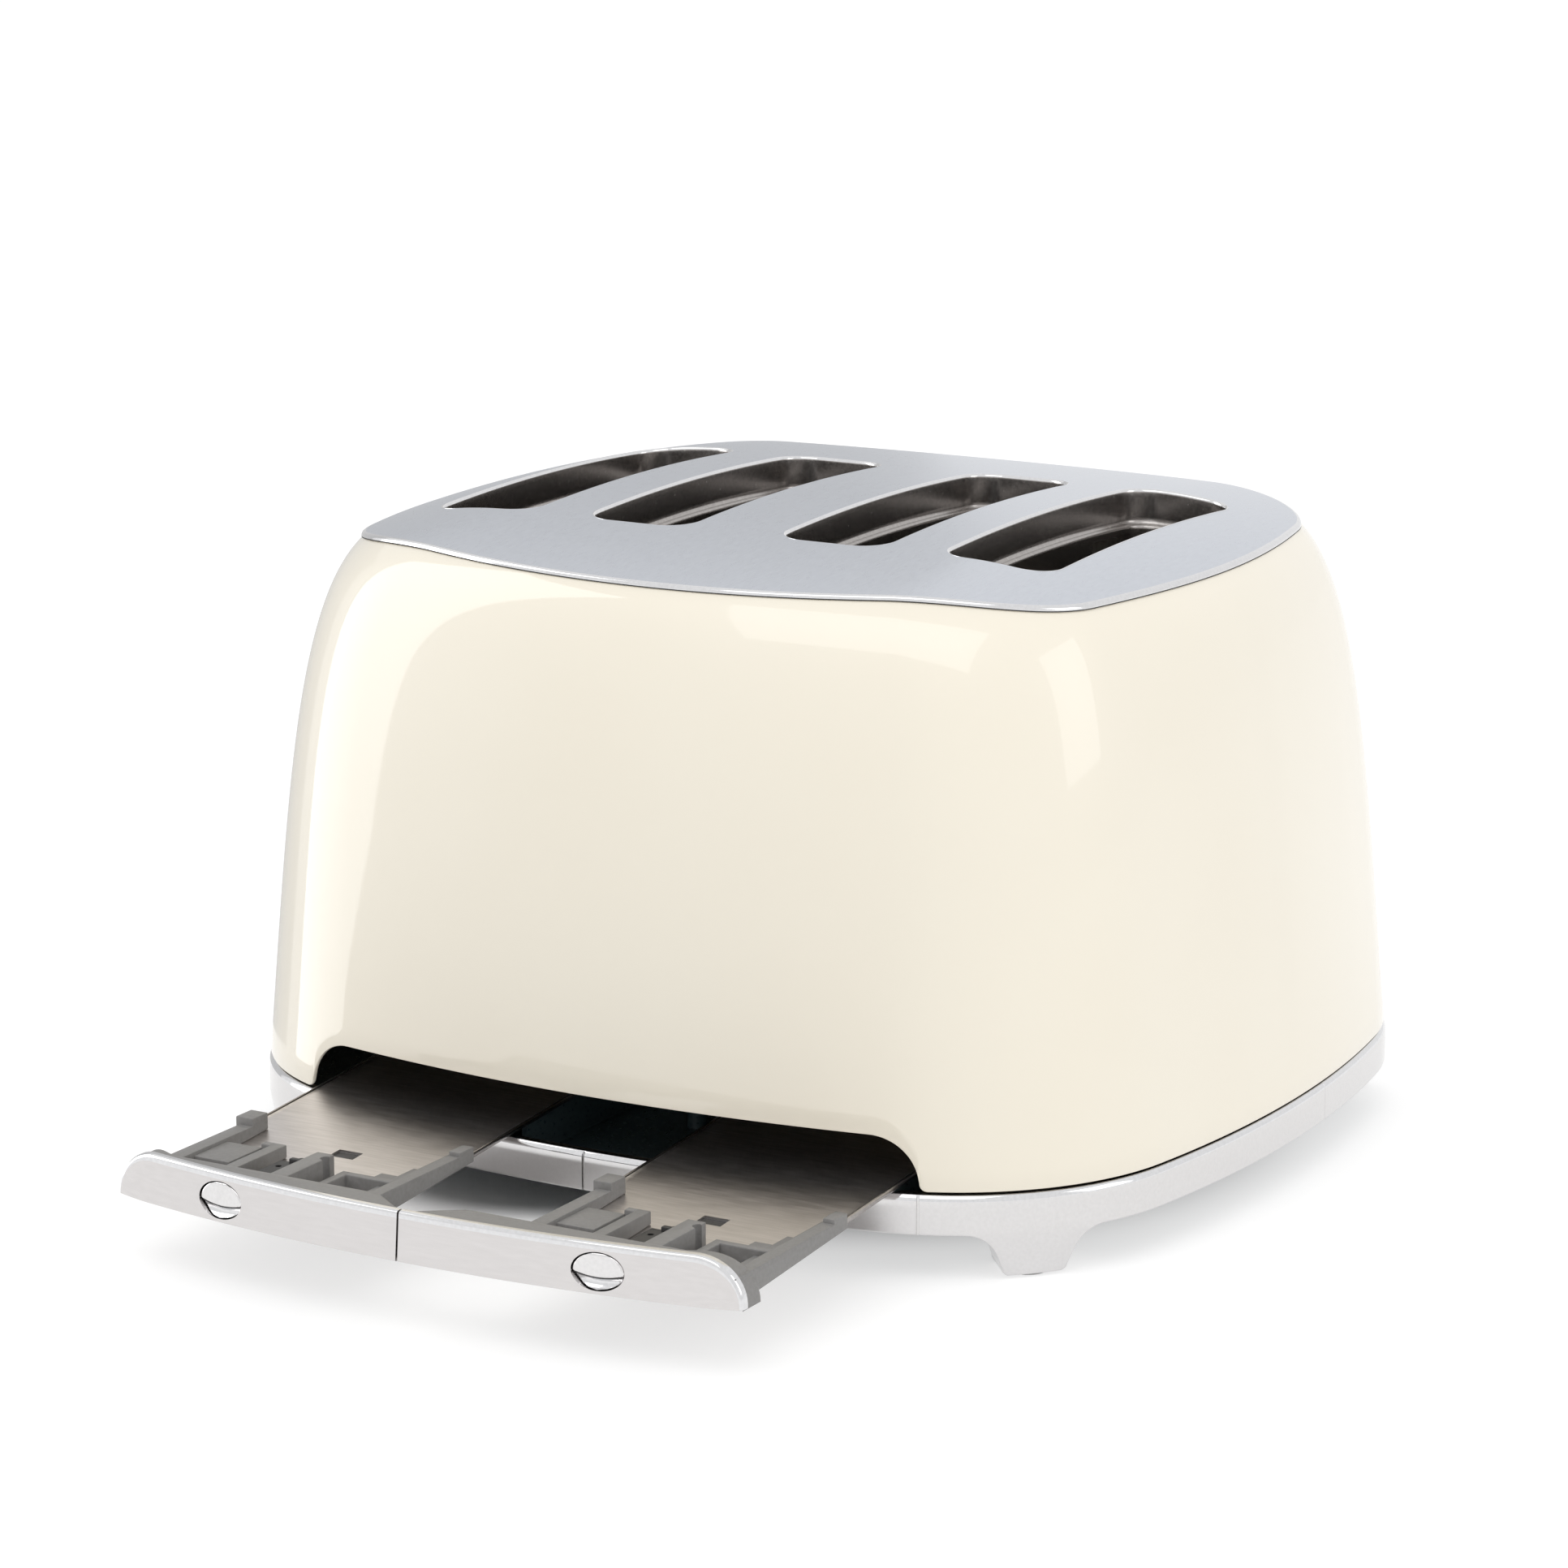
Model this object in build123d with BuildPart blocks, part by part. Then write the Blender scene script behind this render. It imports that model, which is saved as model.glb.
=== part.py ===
"""Four-slot pop-up toaster with two crumb trays.

The origin is on the worktop under the middle of the body. +Z is up, the levers and dials face -Y,
the crumb trays leave at +Y, and left and right are those of a person at the levers: left is -X.
"""

from build123d import *
import math
import os

os.makedirs("parts", exist_ok=True)

# Body, measured at the foot of the shell
HALF_WIDTH = 172.8
HALF_DEPTH = 161.1
SIDE_BOW = 27.5
CORNER_LOW = 84.0
CORNER_HIGH = 60.4
SEAM_Z = 29.1
SHOULDER_Z = 209.8
TAPER = 56.9
TAPER_STRAIGHT = 0.271
SHOULDER_POWER = 4.23
WALL = 1.2
LOFT_STEPS = ((0, 0.25, 0.5, 0.7), (0.7, 0.82, 0.9, 0.95, 0.975, 0.99))

# Crowned top plate and its four bread slots
BODY_TOP = 215.0
CROWN_FLAT = 82.2
CROWN_SIDE_RADIUS = 173.0
CROWN_LONG_RADIUS = 994.0
CROWN_REACH = 180.0
CROWN_SWEEP = 12.0
PLATE = 1.6
PLATE_PROUD = 0.5
SLOT_NEAR = 36.3
SLOT_FAR = 96.0
SLOT_XS = (-SLOT_FAR, -SLOT_NEAR, SLOT_NEAR, SLOT_FAR)
SLOT_WIDTH = 38.0
SLOT_LENGTH = 139.0
SLOT_CORNER = 10.0
LINER_WALL = 0.9
LINER_LEDGE = 2.0
LINER_Z = 192.0

# Base ring, feet and base pan
RING_Z = 15.2
RING_PROUD = 0.5
RING_WALL = 3.0
LIP_TOP = 34.0
LIP_GAP = 0.3
FOOT_Z = 1.0
FOOT_TUCK = 2.0
FOOT_DEPTH = 17.0
FOOT_SHIFT = 3.0
FOOT_TOP_HALF = 23.5
FOOT_NECK_HALF = 13.2
FOOT_NECK_Z = 8.5
FOOT_TOE_HALF = 11.0
FOOT_TOE_ROUND = 2.2
PAD_RADIUS = 6.0
PAD_HEIGHT = 3.0
BASE = 2.5
BASE_TOP = RING_Z + BASE
BOSS_RADIUS = 3.6
BOSS_TOP = 26.0
SCREW_RADIUS = 1.6
SCREW_HEAD_RADIUS = 3.4
SCREW_HEAD = 1.8
SCREW_TIP = 29.0
LEG_X = 118.0
BOSS_Y = 90.5
BOSS_SPOTS = [(x, y) for x in (-LEG_X, 0, LEG_X) for y in (-BOSS_Y, BOSS_Y)]
SCREW_CROSS = (2.4, 0.4)
AIR_SLOT = (60.0, 4.0)
AIR_SLOTS = 7
AIR_SLOT_PITCH = 16.0
RUNNER_HALF = 1.0
RUNNER_GAP = 0.4
RUNNER_INSET = 4.5
BOARD_POST_OFFSET = 30.0
BOARD_POST_HALF = 3.0
BOARD_POST_LAP = 1.0
GLAND_Y = -130.0
GLAND_RADIUS = 6.5
GLAND_FLANGE = (9.0, 2.0)
GLAND_TOP = BASE_TOP + 3.0
GLAND_BORE = 3.8
TERMINAL_Y = -109.0
TERMINAL_HALF = (14.0, 7.0)
TERMINAL_TOP = BASE_TOP + 11.0
TERMINAL_SCREW = 2.2
TERMINAL_SCREW_Z = BASE_TOP + 5.0
TERMINAL_WAY = 1.8
TERMINAL_WAY_Z = BASE_TOP + 4.0
TERMINAL_XS = (-8.5, 0.0, 8.5)

# Crumb trays: they run out on a gentle slope and are drawn part of the way out
TRAY_SLOPE = 4.0
TRAY_PULL = 105.0
SLOPE = math.tan(math.radians(TRAY_SLOPE))
PULL_Y = TRAY_PULL * math.cos(math.radians(TRAY_SLOPE))
PULL_Z = -TRAY_PULL * math.sin(math.radians(TRAY_SLOPE))
PULLED = Location((0, PULL_Y, PULL_Z))
SLIDE_Y = 160.5
SLIDE_Z = 29.7
ARCH_HALF = 113.4
ARCH_TOP = 45.8
ARCH_ROUND = 16.0
FASCIA_GAP = 0.6
FASCIA_PROUD = 1.0
FASCIA_BACK = 1.5
FASCIA_Z = SEAM_Z + 0.5
PARTING = 0.35
PUSH_X = 68.0
PUSH_Z = 36.6
PUSH_HALF_WIDTH = 8.3
PUSH_HALF_HEIGHT = 5.5
PUSH_GAP = 0.35
PUSH_SCOOP_RADIUS = 7.0
PUSH_SCOOP_DEPTH = 2.0
PUSH_CAP_BACK = 152.0
PUSH_STEM = 4.4
PUSH_TRAVEL = 3.0
BAR_BACK = 147.0
BAR_END_BACK = 138.0
BAR_END_XS = (101.5, 108.2)
TRAY_X = 67.3
PAN_HALF = 40.6
PAN_FLOOR = 0.8
PAN_RIM = 1.6
PAN_END = -79.0
PAN_FRONT = 146.0
PAN_SLOT_X = (-7.8, 1.2)
PAN_SLOT_Y = (92.5, 98.5)

# Ribs of a tray's moulded frame: from and to across the tray, from and to along it, and level top
FRAME_TOP = 38.8
FRAME_HIGH = 41.3
FRAME_TALL = 42.7
FRAME_LOW = 36.9
FRAME_RIBS = {
    "plus_arm": (32.7, 38.2, 88.0, BAR_BACK, FRAME_TOP),
    "plus_hook": (32.7, 39.4, 87.0, 95.5, FRAME_HIGH),
    "tab": (19.5, 32.7, 109.0, 127.0, FRAME_TOP - 1.2),
    "latch_wall": (12.0, 16.5, 106.0, BAR_BACK, FRAME_TOP),
    "latch_wall_hook": (16.5, 20.0, 106.0, 109.0, FRAME_TOP),
    "channel_wall": (-13.9, -7.5, 117.0, BAR_BACK, FRAME_TALL),
    "pocket_side": (-21.5, -18.5, 119.0, BAR_BACK, FRAME_TOP),
    "pocket_back": (-37.3, -21.5, 119.0, 122.0, FRAME_TOP),
    "pocket_step": (-37.3, -33.0, 122.0, BAR_BACK, FRAME_LOW),
    "back_step_1": (-27.0, -18.5, 115.5, 119.0, FRAME_LOW),
    "back_step_2": (-33.0, -27.0, 110.0, 119.0, FRAME_LOW),
    "back_step_3": (-37.3, -33.0, 101.0, 119.0, FRAME_LOW),
    "minus_arm": (-39.8, -37.3, 83.0, BAR_BACK, FRAME_TOP),
}
SKIRT = (-42.8, -40.9)
SKIRT_END = 82.0
SKIRT_TAB_END = 90.0
SKIRT_TAB_TOP = 40.2
CHANNEL_RADIUS = 1.8
CHANNEL_Y = 121.5
LATCH_END = 116.0
LATCH_HALF = 6.5
LATCH = 4.0

# Oven: chassis plates, heater cards, bread guards
CHASSIS_Y = 83.5
CHASSIS = 1.0
CHASSIS_HALF = 121.5
CHASSIS_LOW = 58.0
CHASSIS_HIGH = 198.0
LEG_WIDTH = 7.0
TAB = 2.0
TAB_HALF = 26.0
TAB_REACH = -101.0
TAB_GAP = 13.0
CARD_OFFSET = 23.85
CARD = 1.0
CARD_LOW = 64.0
CARD_HIGH = 184.0
RIBBON = 0.4
RIBBON_HALF = 70.0
RIBBON_BAND = 1.0
RIBBON_ROWS = 8
GUARD_OFFSET = 17.5
GUARD_WIRE = 0.8
GUARD_BAR = 0.6
GUARD_HALF = 86.0
GUARD_LOW = 70.0
GUARD_HIGH = 182.0
GUARD_BARS = 7
GUARD_TRAVEL = 6.0

# Lift: carriage, racks, lever
PAIR_X = (SLOT_NEAR + SLOT_FAR) / 2
LIFT_TRAVEL = 55.0
CARRIAGE_Y = -92.0
CARRIAGE = 2.0
CARRIAGE_HALF = 36.0
CARRIAGE_LOW = 104.0
CARRIAGE_HIGH = 126.0
RACK_TOP = 118.0
RACK_DEPTH = 8.0
RACK_BLADE = 1.2
RACK_HALF = 72.0
RACK_REST_HALF = 5.0
RACK_REST_BAND = 1.5
RACK_SLOT_HALF = 2.0
RACK_RESTS = 9
ROD_OFFSET = 20.0
ROD_Y = -96.0
ROD_RADIUS = 2.5
ROD_CLEARANCE = 0.05
ROD_LOW = 44.0
ROD_HIGH = 186.0
BUSH_RADIUS = 4.5
BUSH_LOW = 102.0
BUSH_HIGH = 128.0
SPRING_OFFSET = 10.0
SPRING_Y = -97.0
SPRING_RADIUS = 3.5
SPRING_BORE = 2.6
SPRING_GAP = 0.3
LEVER_Z = 158.0
LEVER_HALF = 1.5
LEVER_TALL = 10.0
LEVER_END = -160.0
KNOB_BACK = -155.0
KNOB_FRONT = -177.0
KNOB_HALF = 18.0
KNOB_TALL = 16.0
KNOB_ROUND = 5.0
LEVER_SLOT = 5.4
STEM_HALF = 7.0
STEM_OVER = 2.0
ARMATURE_HALF = 9.0
ARMATURE_REACH = 8.0
SPRING_SEAT = (5.0, 16.0)
SPRING_SEAT_REACH = 10.0
MAGNET_Y = -95.0
MAGNET_HALF = 9.0
MAGNET_LOW = 28.0
MAGNET_FLOOR = 31.0
MAGNET_COIL = 7.0
MAGNET_COIL_TOP = 42.5
MAGNET_CORE = 3.0
MAGNET_TOP = 46.5
MAGNET_BRACKET_TOP = 56.0

# Dials, buttons and their boards
DIAL_Z = 70.0
DIAL_RADIUS = 17.0
DIAL_BACK = -159.4
DIAL_FRONT = -175.0
DIAL_SHAFT = 3.0
DIAL_SHAFT_END = -124.0
DIAL_RING_RADIUS = 23.0
DIAL_RING_FRONT = -158.8
BUTTON_ARC = 31.0
BUTTON_ANGLES = (-145, -90, -35)
BUTTON_NAMES = ("defrost", "reheat", "cancel")
BUTTON_RADIUS = 4.4
BUTTON_PROUD = 2.5
BUTTON_GAP = 0.4
BUTTON_CAP_END = -138.0
BUTTON_STEM = 2.0
BUTTON_STEM_END = -125.0
BOARD_Y = -119.0
BOARD = 1.6
BOARD_HALF = 38.0
BOARD_LOW = 34.0
BOARD_HIGH = 84.0
SWITCH = 3.0
DIAL_ROUND = 2.5
DIAL_RING_ROUND = 1.2
DIAL_NOTCH = 1.0
BUTTON_ROUND = 0.8
POT_HALF = 7.0
POT_FRONT = -130.0

SIDES = {"left": -1, "right": 1}
REAR = Plane(origin=(0, 0, 0), x_dir=(-1, 0, 0), z_dir=(0, 1, 0))


def save(piece, name):
    piece.label = name
    export_step(piece, f"parts/{name}.step")


def section(height):
    """Half width, half depth and corner radius of the body at a height."""
    rise = (height - SEAM_Z) / (SHOULDER_Z - SEAM_Z)
    shoulder = 1 - (1 - rise**SHOULDER_POWER) ** (1 / SHOULDER_POWER)
    inset = TAPER * (TAPER_STRAIGHT * rise + (1 - TAPER_STRAIGHT) * shoulder)
    corner = CORNER_LOW + (CORNER_HIGH - CORNER_LOW) * rise
    return HALF_WIDTH - inset, HALF_DEPTH - inset, corner


def bow_radius(half_chord):
    return (half_chord**2 + SIDE_BOW**2) / (2 * SIDE_BOW)


def corner_centre(half_x, half_y, corner):
    """Centre of the corner arc that is tangent to both bowed sides."""
    end_y = half_y - bow_radius(half_x)
    side_x = half_x - bow_radius(half_y)
    to_end = bow_radius(half_x) - corner
    to_side = bow_radius(half_y) - corner
    span = math.hypot(side_x, end_y)
    along = (to_end**2 - to_side**2 + span**2) / (2 * span)
    across = math.sqrt(to_end**2 - along**2)
    step_x = side_x / span
    step_y = -end_y / span
    return along * step_x + across * step_y, end_y + along * step_y - across * step_x


def outline(half_x, half_y, corner):
    """Face of the body's plan: four bowed sides and four corners, all tangent arcs."""
    cx, cy = corner_centre(half_x, half_y, corner)
    centre = Vector(cx, cy)
    end_centre = Vector(0, half_y - bow_radius(half_x))
    side_centre = Vector(half_x - bow_radius(half_y), 0)
    end_way = (centre - end_centre).normalized()
    side_way = (centre - side_centre).normalized()
    end = centre + end_way * corner
    middle = centre + (end_way + side_way).normalized() * corner
    side = centre + side_way * corner
    with BuildSketch() as plan:
        with BuildLine():
            for sx, sy in ((1, 1), (-1, -1)):
                ThreePointArc((-sx * end.X, sy * end.Y), (0, sy * half_y), (sx * end.X, sy * end.Y))
                ThreePointArc((sx * side.X, sy * side.Y), (sx * half_x, 0), (sx * side.X, -sy * side.Y))
            for sx, sy in ((1, 1), (1, -1), (-1, -1), (-1, 1)):
                ThreePointArc(
                    (sx * end.X, sy * end.Y), (sx * middle.X, sy * middle.Y), (sx * side.X, sy * side.Y)
                )
        make_face()
    return plan.sketch


def offset_outline(outset, height=SEAM_Z):
    half_x, half_y, corner = section(height)
    return outline(half_x + outset, half_y + outset, corner + outset)


def body_solid(outset):
    """The whole body above the seam as one block, grown by an outset."""
    with BuildPart() as body:
        for steps in LOFT_STEPS:
            for step in steps:
                height = SEAM_Z + step * (SHOULDER_Z - SEAM_Z)
                with BuildSketch(Plane.XY.offset(height)):
                    add(offset_outline(outset, height))
            loft()
        with BuildSketch(Plane.XY.offset(height)):
            add(offset_outline(outset, height))
        extrude(amount=BODY_TOP + PLATE - height)
    return body.part


def front_y(x, height):
    """Y of the shell's front face at a place on its bowed side."""
    half_x, half_y, corner = section(height)
    radius = bow_radius(half_x)
    return -(half_y - radius + math.sqrt(radius**2 - x**2))


def crown_band(drop, rise):
    """Layer that follows the crowned top, from a drop below it to a rise above it."""
    axis_z = BODY_TOP - CROWN_LONG_RADIUS
    fall = CROWN_SIDE_RADIUS - math.sqrt(CROWN_SIDE_RADIUS**2 - (CROWN_REACH - CROWN_FLAT) ** 2)
    low = CROWN_LONG_RADIUS - drop
    high = CROWN_LONG_RADIUS + rise
    tilt = math.radians(CROWN_SWEEP)
    start = Plane((0, 0, axis_z), x_dir=(1, 0, 0), z_dir=(0, -math.cos(tilt), math.sin(tilt)))
    with BuildPart() as band:
        with BuildSketch(start):
            with BuildLine():
                for level in (low, high):
                    Line((-CROWN_FLAT, level), (CROWN_FLAT, level))
                    for side in (-1, 1):
                        TangentArc(
                            (side * CROWN_FLAT, level), (side * CROWN_REACH, level - fall), tangent=(side, 0)
                        )
                for side in (-1, 1):
                    Line((side * CROWN_REACH, low - fall), (side * CROWN_REACH, high - fall))
            make_face()
        revolve(axis=Axis((0, 0, axis_z), (1, 0, 0)), revolution_arc=2 * CROWN_SWEEP)
    return band.part


def arch(inset, low):
    """Outline of the opening in the rear of the shell, shrunk by an inset."""
    half = ARCH_HALF - inset
    top = ARCH_TOP - inset
    bend = ARCH_ROUND - inset
    with BuildSketch() as opening:
        with BuildLine():
            Polyline((-half, top - bend), (-half, low), (half, low), (half, top - bend))
            RadiusArc((half, top - bend), (half - bend, top), -bend)
            Line((half - bend, top), (bend - half, top))
            RadiusArc((bend - half, top), (-half, top - bend), -bend)
        make_face()
    return opening.sketch


def slide_z(y):
    """Height of the sloping plane that the closed trays run on."""
    return SLIDE_Z + (SLIDE_Y - y) * SLOPE


def rib(x_low, x_high, y_low, y_high, lift, top):
    """Rib along Y with a level top, whose foot follows the tray slope."""
    with BuildPart() as wall:
        with BuildSketch(Plane.YZ.offset(x_low)):
            with BuildLine():
                Polyline(
                    (y_low, slide_z(y_low) + lift),
                    (y_high, slide_z(y_high) + lift),
                    (y_high, top),
                    (y_low, top),
                    close=True,
                )
            make_face()
        extrude(amount=x_high - x_low)
    return wall.part


def sloped_bar(x_low, x_high, y_low, y_high, lift, tall):
    """Bar along Y whose top and bottom follow the tray slope."""
    with BuildPart() as bar:
        with BuildSketch(Plane.YZ.offset(x_low)):
            with BuildLine():
                Polyline(
                    (y_low, slide_z(y_low) + lift),
                    (y_high, slide_z(y_high) + lift),
                    (y_high, slide_z(y_high) + lift + tall),
                    (y_low, slide_z(y_low) + lift + tall),
                    close=True,
                )
            make_face()
        extrude(amount=x_high - x_low)
    return bar.part


def block(x_low, x_high, y_low, y_high, z_low, z_high, mode=Mode.ADD):
    """Box between two corners, joined to the piece being made."""
    with Locations(((x_low + x_high) / 2, (y_low + y_high) / 2, (z_low + z_high) / 2)):
        Box(x_high - x_low, y_high - y_low, z_high - z_low, mode=mode)


def post(x, y, z_low, z_high, radius, mode=Mode.ADD):
    """Upright round post between two heights, joined to the piece being made."""
    with Locations((x, y, (z_low + z_high) / 2)):
        Cylinder(radius, z_high - z_low, mode=mode)


def plunger(x, z, y_front, y_back, radius, mode=Mode.ADD):
    """Round rod along Y between two faces, joined to the piece being made."""
    with Locations(Location((x, (y_front + y_back) / 2, z), (90, 0, 0))):
        Cylinder(radius, abs(y_back - y_front), mode=mode)


def button_spot(side, angle):
    turn = math.radians(angle)
    return side * PAIR_X + BUTTON_ARC * math.cos(turn), DIAL_Z + BUTTON_ARC * math.sin(turn)


OUTER_BODY = body_solid(0)
FASCIA_FRONT = body_solid(FASCIA_PROUD)
FASCIA_REAR = body_solid(-FASCIA_BACK)
ABOVE_SHELL = crown_band(PLATE, 2 * CROWN_REACH)

# Shell: one deep-drawn wall with the arch, the lever slots and the control holes
with BuildPart() as body_shell:
    add(OUTER_BODY)
    add(body_solid(-WALL), mode=Mode.SUBTRACT)
    add(ABOVE_SHELL, mode=Mode.SUBTRACT)
    with BuildSketch(REAR):
        add(arch(0, 0))
    extrude(amount=2 * HALF_DEPTH, mode=Mode.SUBTRACT)
    for side in SIDES.values():
        slot_high = LEVER_Z + LEVER_TALL / 2 + KNOB_ROUND / 2
        slot_low = slot_high - LEVER_TALL - LIFT_TRAVEL - KNOB_ROUND
        with BuildSketch(Plane.XZ):
            with Locations((side * PAIR_X, (slot_low + slot_high) / 2)):
                SlotOverall(slot_high - slot_low, LEVER_SLOT, rotation=90)
            with Locations((side * PAIR_X, DIAL_Z)):
                Circle(DIAL_SHAFT + BUTTON_GAP)
            with Locations([button_spot(side, angle) for angle in BUTTON_ANGLES]):
                Circle(BUTTON_RADIUS + BUTTON_GAP)
        extrude(amount=2 * HALF_DEPTH, mode=Mode.SUBTRACT)
save(body_shell.part, "body_shell")

# Crowned top plate with the bread slots
with BuildPart() as top_plate:
    add(body_solid(PLATE_PROUD))
    add(crown_band(PLATE, 0), mode=Mode.INTERSECT)
    with BuildSketch(Plane.XY.offset(LINER_Z)):
        with Locations([(x, 0) for x in SLOT_XS]):
            RectangleRounded(SLOT_WIDTH, SLOT_LENGTH, SLOT_CORNER)
    extrude(amount=BODY_TOP - LINER_Z + PLATE, mode=Mode.SUBTRACT)
save(top_plate.part, "top_plate")

# Slot liners: pressed collars under the plate, with a narrow ledge at the foot
for number, x in enumerate(SLOT_XS, start=1):
    with BuildPart() as slot_liner:
        with BuildSketch(Plane.XY.offset(LINER_Z)):
            with Locations((x, 0)):
                RectangleRounded(
                    SLOT_WIDTH + 2 * LINER_WALL, SLOT_LENGTH + 2 * LINER_WALL, SLOT_CORNER + LINER_WALL
                )
                RectangleRounded(
                    SLOT_WIDTH - 2 * LINER_LEDGE,
                    SLOT_LENGTH - 2 * LINER_LEDGE,
                    SLOT_CORNER - LINER_LEDGE,
                    mode=Mode.SUBTRACT,
                )
        extrude(amount=BODY_TOP - LINER_Z)
        with BuildSketch(Plane.XY.offset(LINER_Z + LINER_WALL)):
            with Locations((x, 0)):
                RectangleRounded(SLOT_WIDTH, SLOT_LENGTH, SLOT_CORNER)
        extrude(amount=BODY_TOP - LINER_Z, mode=Mode.SUBTRACT)
        add(ABOVE_SHELL, mode=Mode.SUBTRACT)
    save(slot_liner.part, f"slot_liner_{number}")

# Base ring: cast band with a lip inside the shell and four tapering feet
FOOT_CENTRE = corner_centre(*section(SEAM_Z))


def foot_plane(sx, sy):
    way = math.sqrt(0.5)
    origin = (sx * (FOOT_CENTRE[0] + FOOT_SHIFT * way), sy * (FOOT_CENTRE[1] - FOOT_SHIFT * way), 0)
    return Plane(origin, x_dir=(-sx * sy * sx * way, sx * sy * sy * way, 0), z_dir=(sx * way, sy * way, 0))


def foot_spot(sx, sy):
    way = math.sqrt(0.5)
    reach = CORNER_LOW - FOOT_TUCK - FOOT_DEPTH / 2
    x = FOOT_CENTRE[0] + (reach + FOOT_SHIFT) * way
    y = FOOT_CENTRE[1] + (reach - FOOT_SHIFT) * way
    return sx * x, sy * y


CORNERS = ((1, 1), (1, -1), (-1, -1), (-1, 1))

with BuildPart() as foot_zone:
    with BuildSketch(Plane.XY.offset(FOOT_Z)):
        add(offset_outline(-FOOT_TUCK))
    with BuildSketch(Plane.XY.offset(RING_Z)):
        add(offset_outline(RING_PROUD))
    loft(ruled=True)

with BuildPart() as feet:
    for sx, sy in CORNERS:
        with BuildSketch(foot_plane(sx, sy).offset(CORNER_LOW - FOOT_DEPTH)):
            with BuildLine():
                Line((-FOOT_TOP_HALF, RING_Z), (FOOT_TOP_HALF, RING_Z))
                for side in (-1, 1):
                    TangentArc(
                        (side * FOOT_TOP_HALF, RING_Z),
                        (side * FOOT_NECK_HALF, FOOT_NECK_Z),
                        tangent=(-side, 0),
                    )
                    Line(
                        (side * FOOT_NECK_HALF, FOOT_NECK_Z),
                        (side * FOOT_TOE_HALF, FOOT_Z + FOOT_TOE_ROUND),
                    )
                    Line(
                        (side * FOOT_TOE_HALF, FOOT_Z + FOOT_TOE_ROUND),
                        (side * (FOOT_TOE_HALF - FOOT_TOE_ROUND), FOOT_Z),
                    )
                Line((FOOT_TOE_ROUND - FOOT_TOE_HALF, FOOT_Z), (FOOT_TOE_HALF - FOOT_TOE_ROUND, FOOT_Z))
            make_face()
        extrude(amount=2 * FOOT_DEPTH)
    add(foot_zone.part, mode=Mode.INTERSECT)

with BuildPart() as base_ring:
    with BuildSketch(Plane.XY.offset(RING_Z)):
        add(offset_outline(RING_PROUD))
        add(offset_outline(-RING_WALL), mode=Mode.SUBTRACT)
    extrude(amount=SEAM_Z - RING_Z)
    with BuildSketch(Plane.XY.offset(SEAM_Z)):
        add(offset_outline(-WALL - LIP_GAP, LIP_TOP))
        add(offset_outline(-RING_WALL), mode=Mode.SUBTRACT)
    extrude(amount=LIP_TOP - SEAM_Z)
    with BuildSketch(REAR):
        with Locations((0, LIP_TOP)):
            Rectangle(2 * ARCH_HALF + 2 * FASCIA_GAP, 2 * (LIP_TOP - SEAM_Z))
    extrude(amount=2 * HALF_DEPTH, mode=Mode.SUBTRACT)
    add(feet.part)
    for sx, sy in CORNERS:
        post(*foot_spot(sx, sy), 0, PAD_HEIGHT, PAD_RADIUS, mode=Mode.SUBTRACT)
save(base_ring.part, "base_ring")

with BuildPart() as foot_pads:
    for sx, sy in CORNERS:
        post(*foot_spot(sx, sy), 0, PAD_HEIGHT, PAD_RADIUS)
save(foot_pads.part, "foot_pads")

# Base pan: floor plate with bosses, sloping tray runners, board posts and air slots
with BuildPart() as base_pan:
    with BuildSketch(Plane.XY.offset(RING_Z)):
        add(offset_outline(-RING_WALL))
        with Locations((0, GLAND_Y)):
            Circle(GLAND_RADIUS, mode=Mode.SUBTRACT)
        with GridLocations(2 * TRAY_X, AIR_SLOT_PITCH, 2, AIR_SLOTS):
            SlotOverall(*AIR_SLOT, mode=Mode.SUBTRACT)
    extrude(amount=BASE)
    for x, y in BOSS_SPOTS:
        post(x, y, BASE_TOP, BOSS_TOP, BOSS_RADIUS)
    for side in SIDES.values():
        for runner in (RUNNER_INSET - PAN_HALF, PAN_HALF - RUNNER_INSET):
            with BuildSketch(Plane.YZ.offset(side * TRAY_X + runner - RUNNER_HALF)):
                with BuildLine():
                    Polyline(
                        (PAN_END, BASE_TOP),
                        (BAR_BACK, BASE_TOP),
                        (BAR_BACK, slide_z(BAR_BACK) - RUNNER_GAP),
                        (PAN_END, slide_z(PAN_END) - RUNNER_GAP),
                        close=True,
                    )
                make_face()
            extrude(amount=2 * RUNNER_HALF)
        for offset_x in (-BOARD_POST_OFFSET, BOARD_POST_OFFSET):
            x = side * PAIR_X + offset_x
            post_low = BOARD_Y - BOARD_POST_LAP
            post_high = BOARD_Y + BOARD + BOARD_POST_LAP
            block(x - BOARD_POST_HALF, x + BOARD_POST_HALF, post_low, post_high, BASE_TOP, BOARD_LOW)
    for x, y in BOSS_SPOTS:
        post(x, y, RING_Z, BOSS_TOP, SCREW_RADIUS, mode=Mode.SUBTRACT)
save(base_pan.part, "base_pan")

with BuildPart() as base_screws:
    for x, y in BOSS_SPOTS:
        post(x, y, RING_Z - SCREW_HEAD, RING_Z, SCREW_HEAD_RADIUS)
        post(x, y, RING_Z, SCREW_TIP, SCREW_RADIUS)
        cross_low = RING_Z - SCREW_HEAD
        cross_high = RING_Z - SCREW_HEAD / 2
        for half_x, half_y in (SCREW_CROSS, SCREW_CROSS[::-1]):
            block(x - half_x, x + half_x, y - half_y, y + half_y, cross_low, cross_high, Mode.SUBTRACT)
save(base_screws.part, "base_screws")

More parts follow.
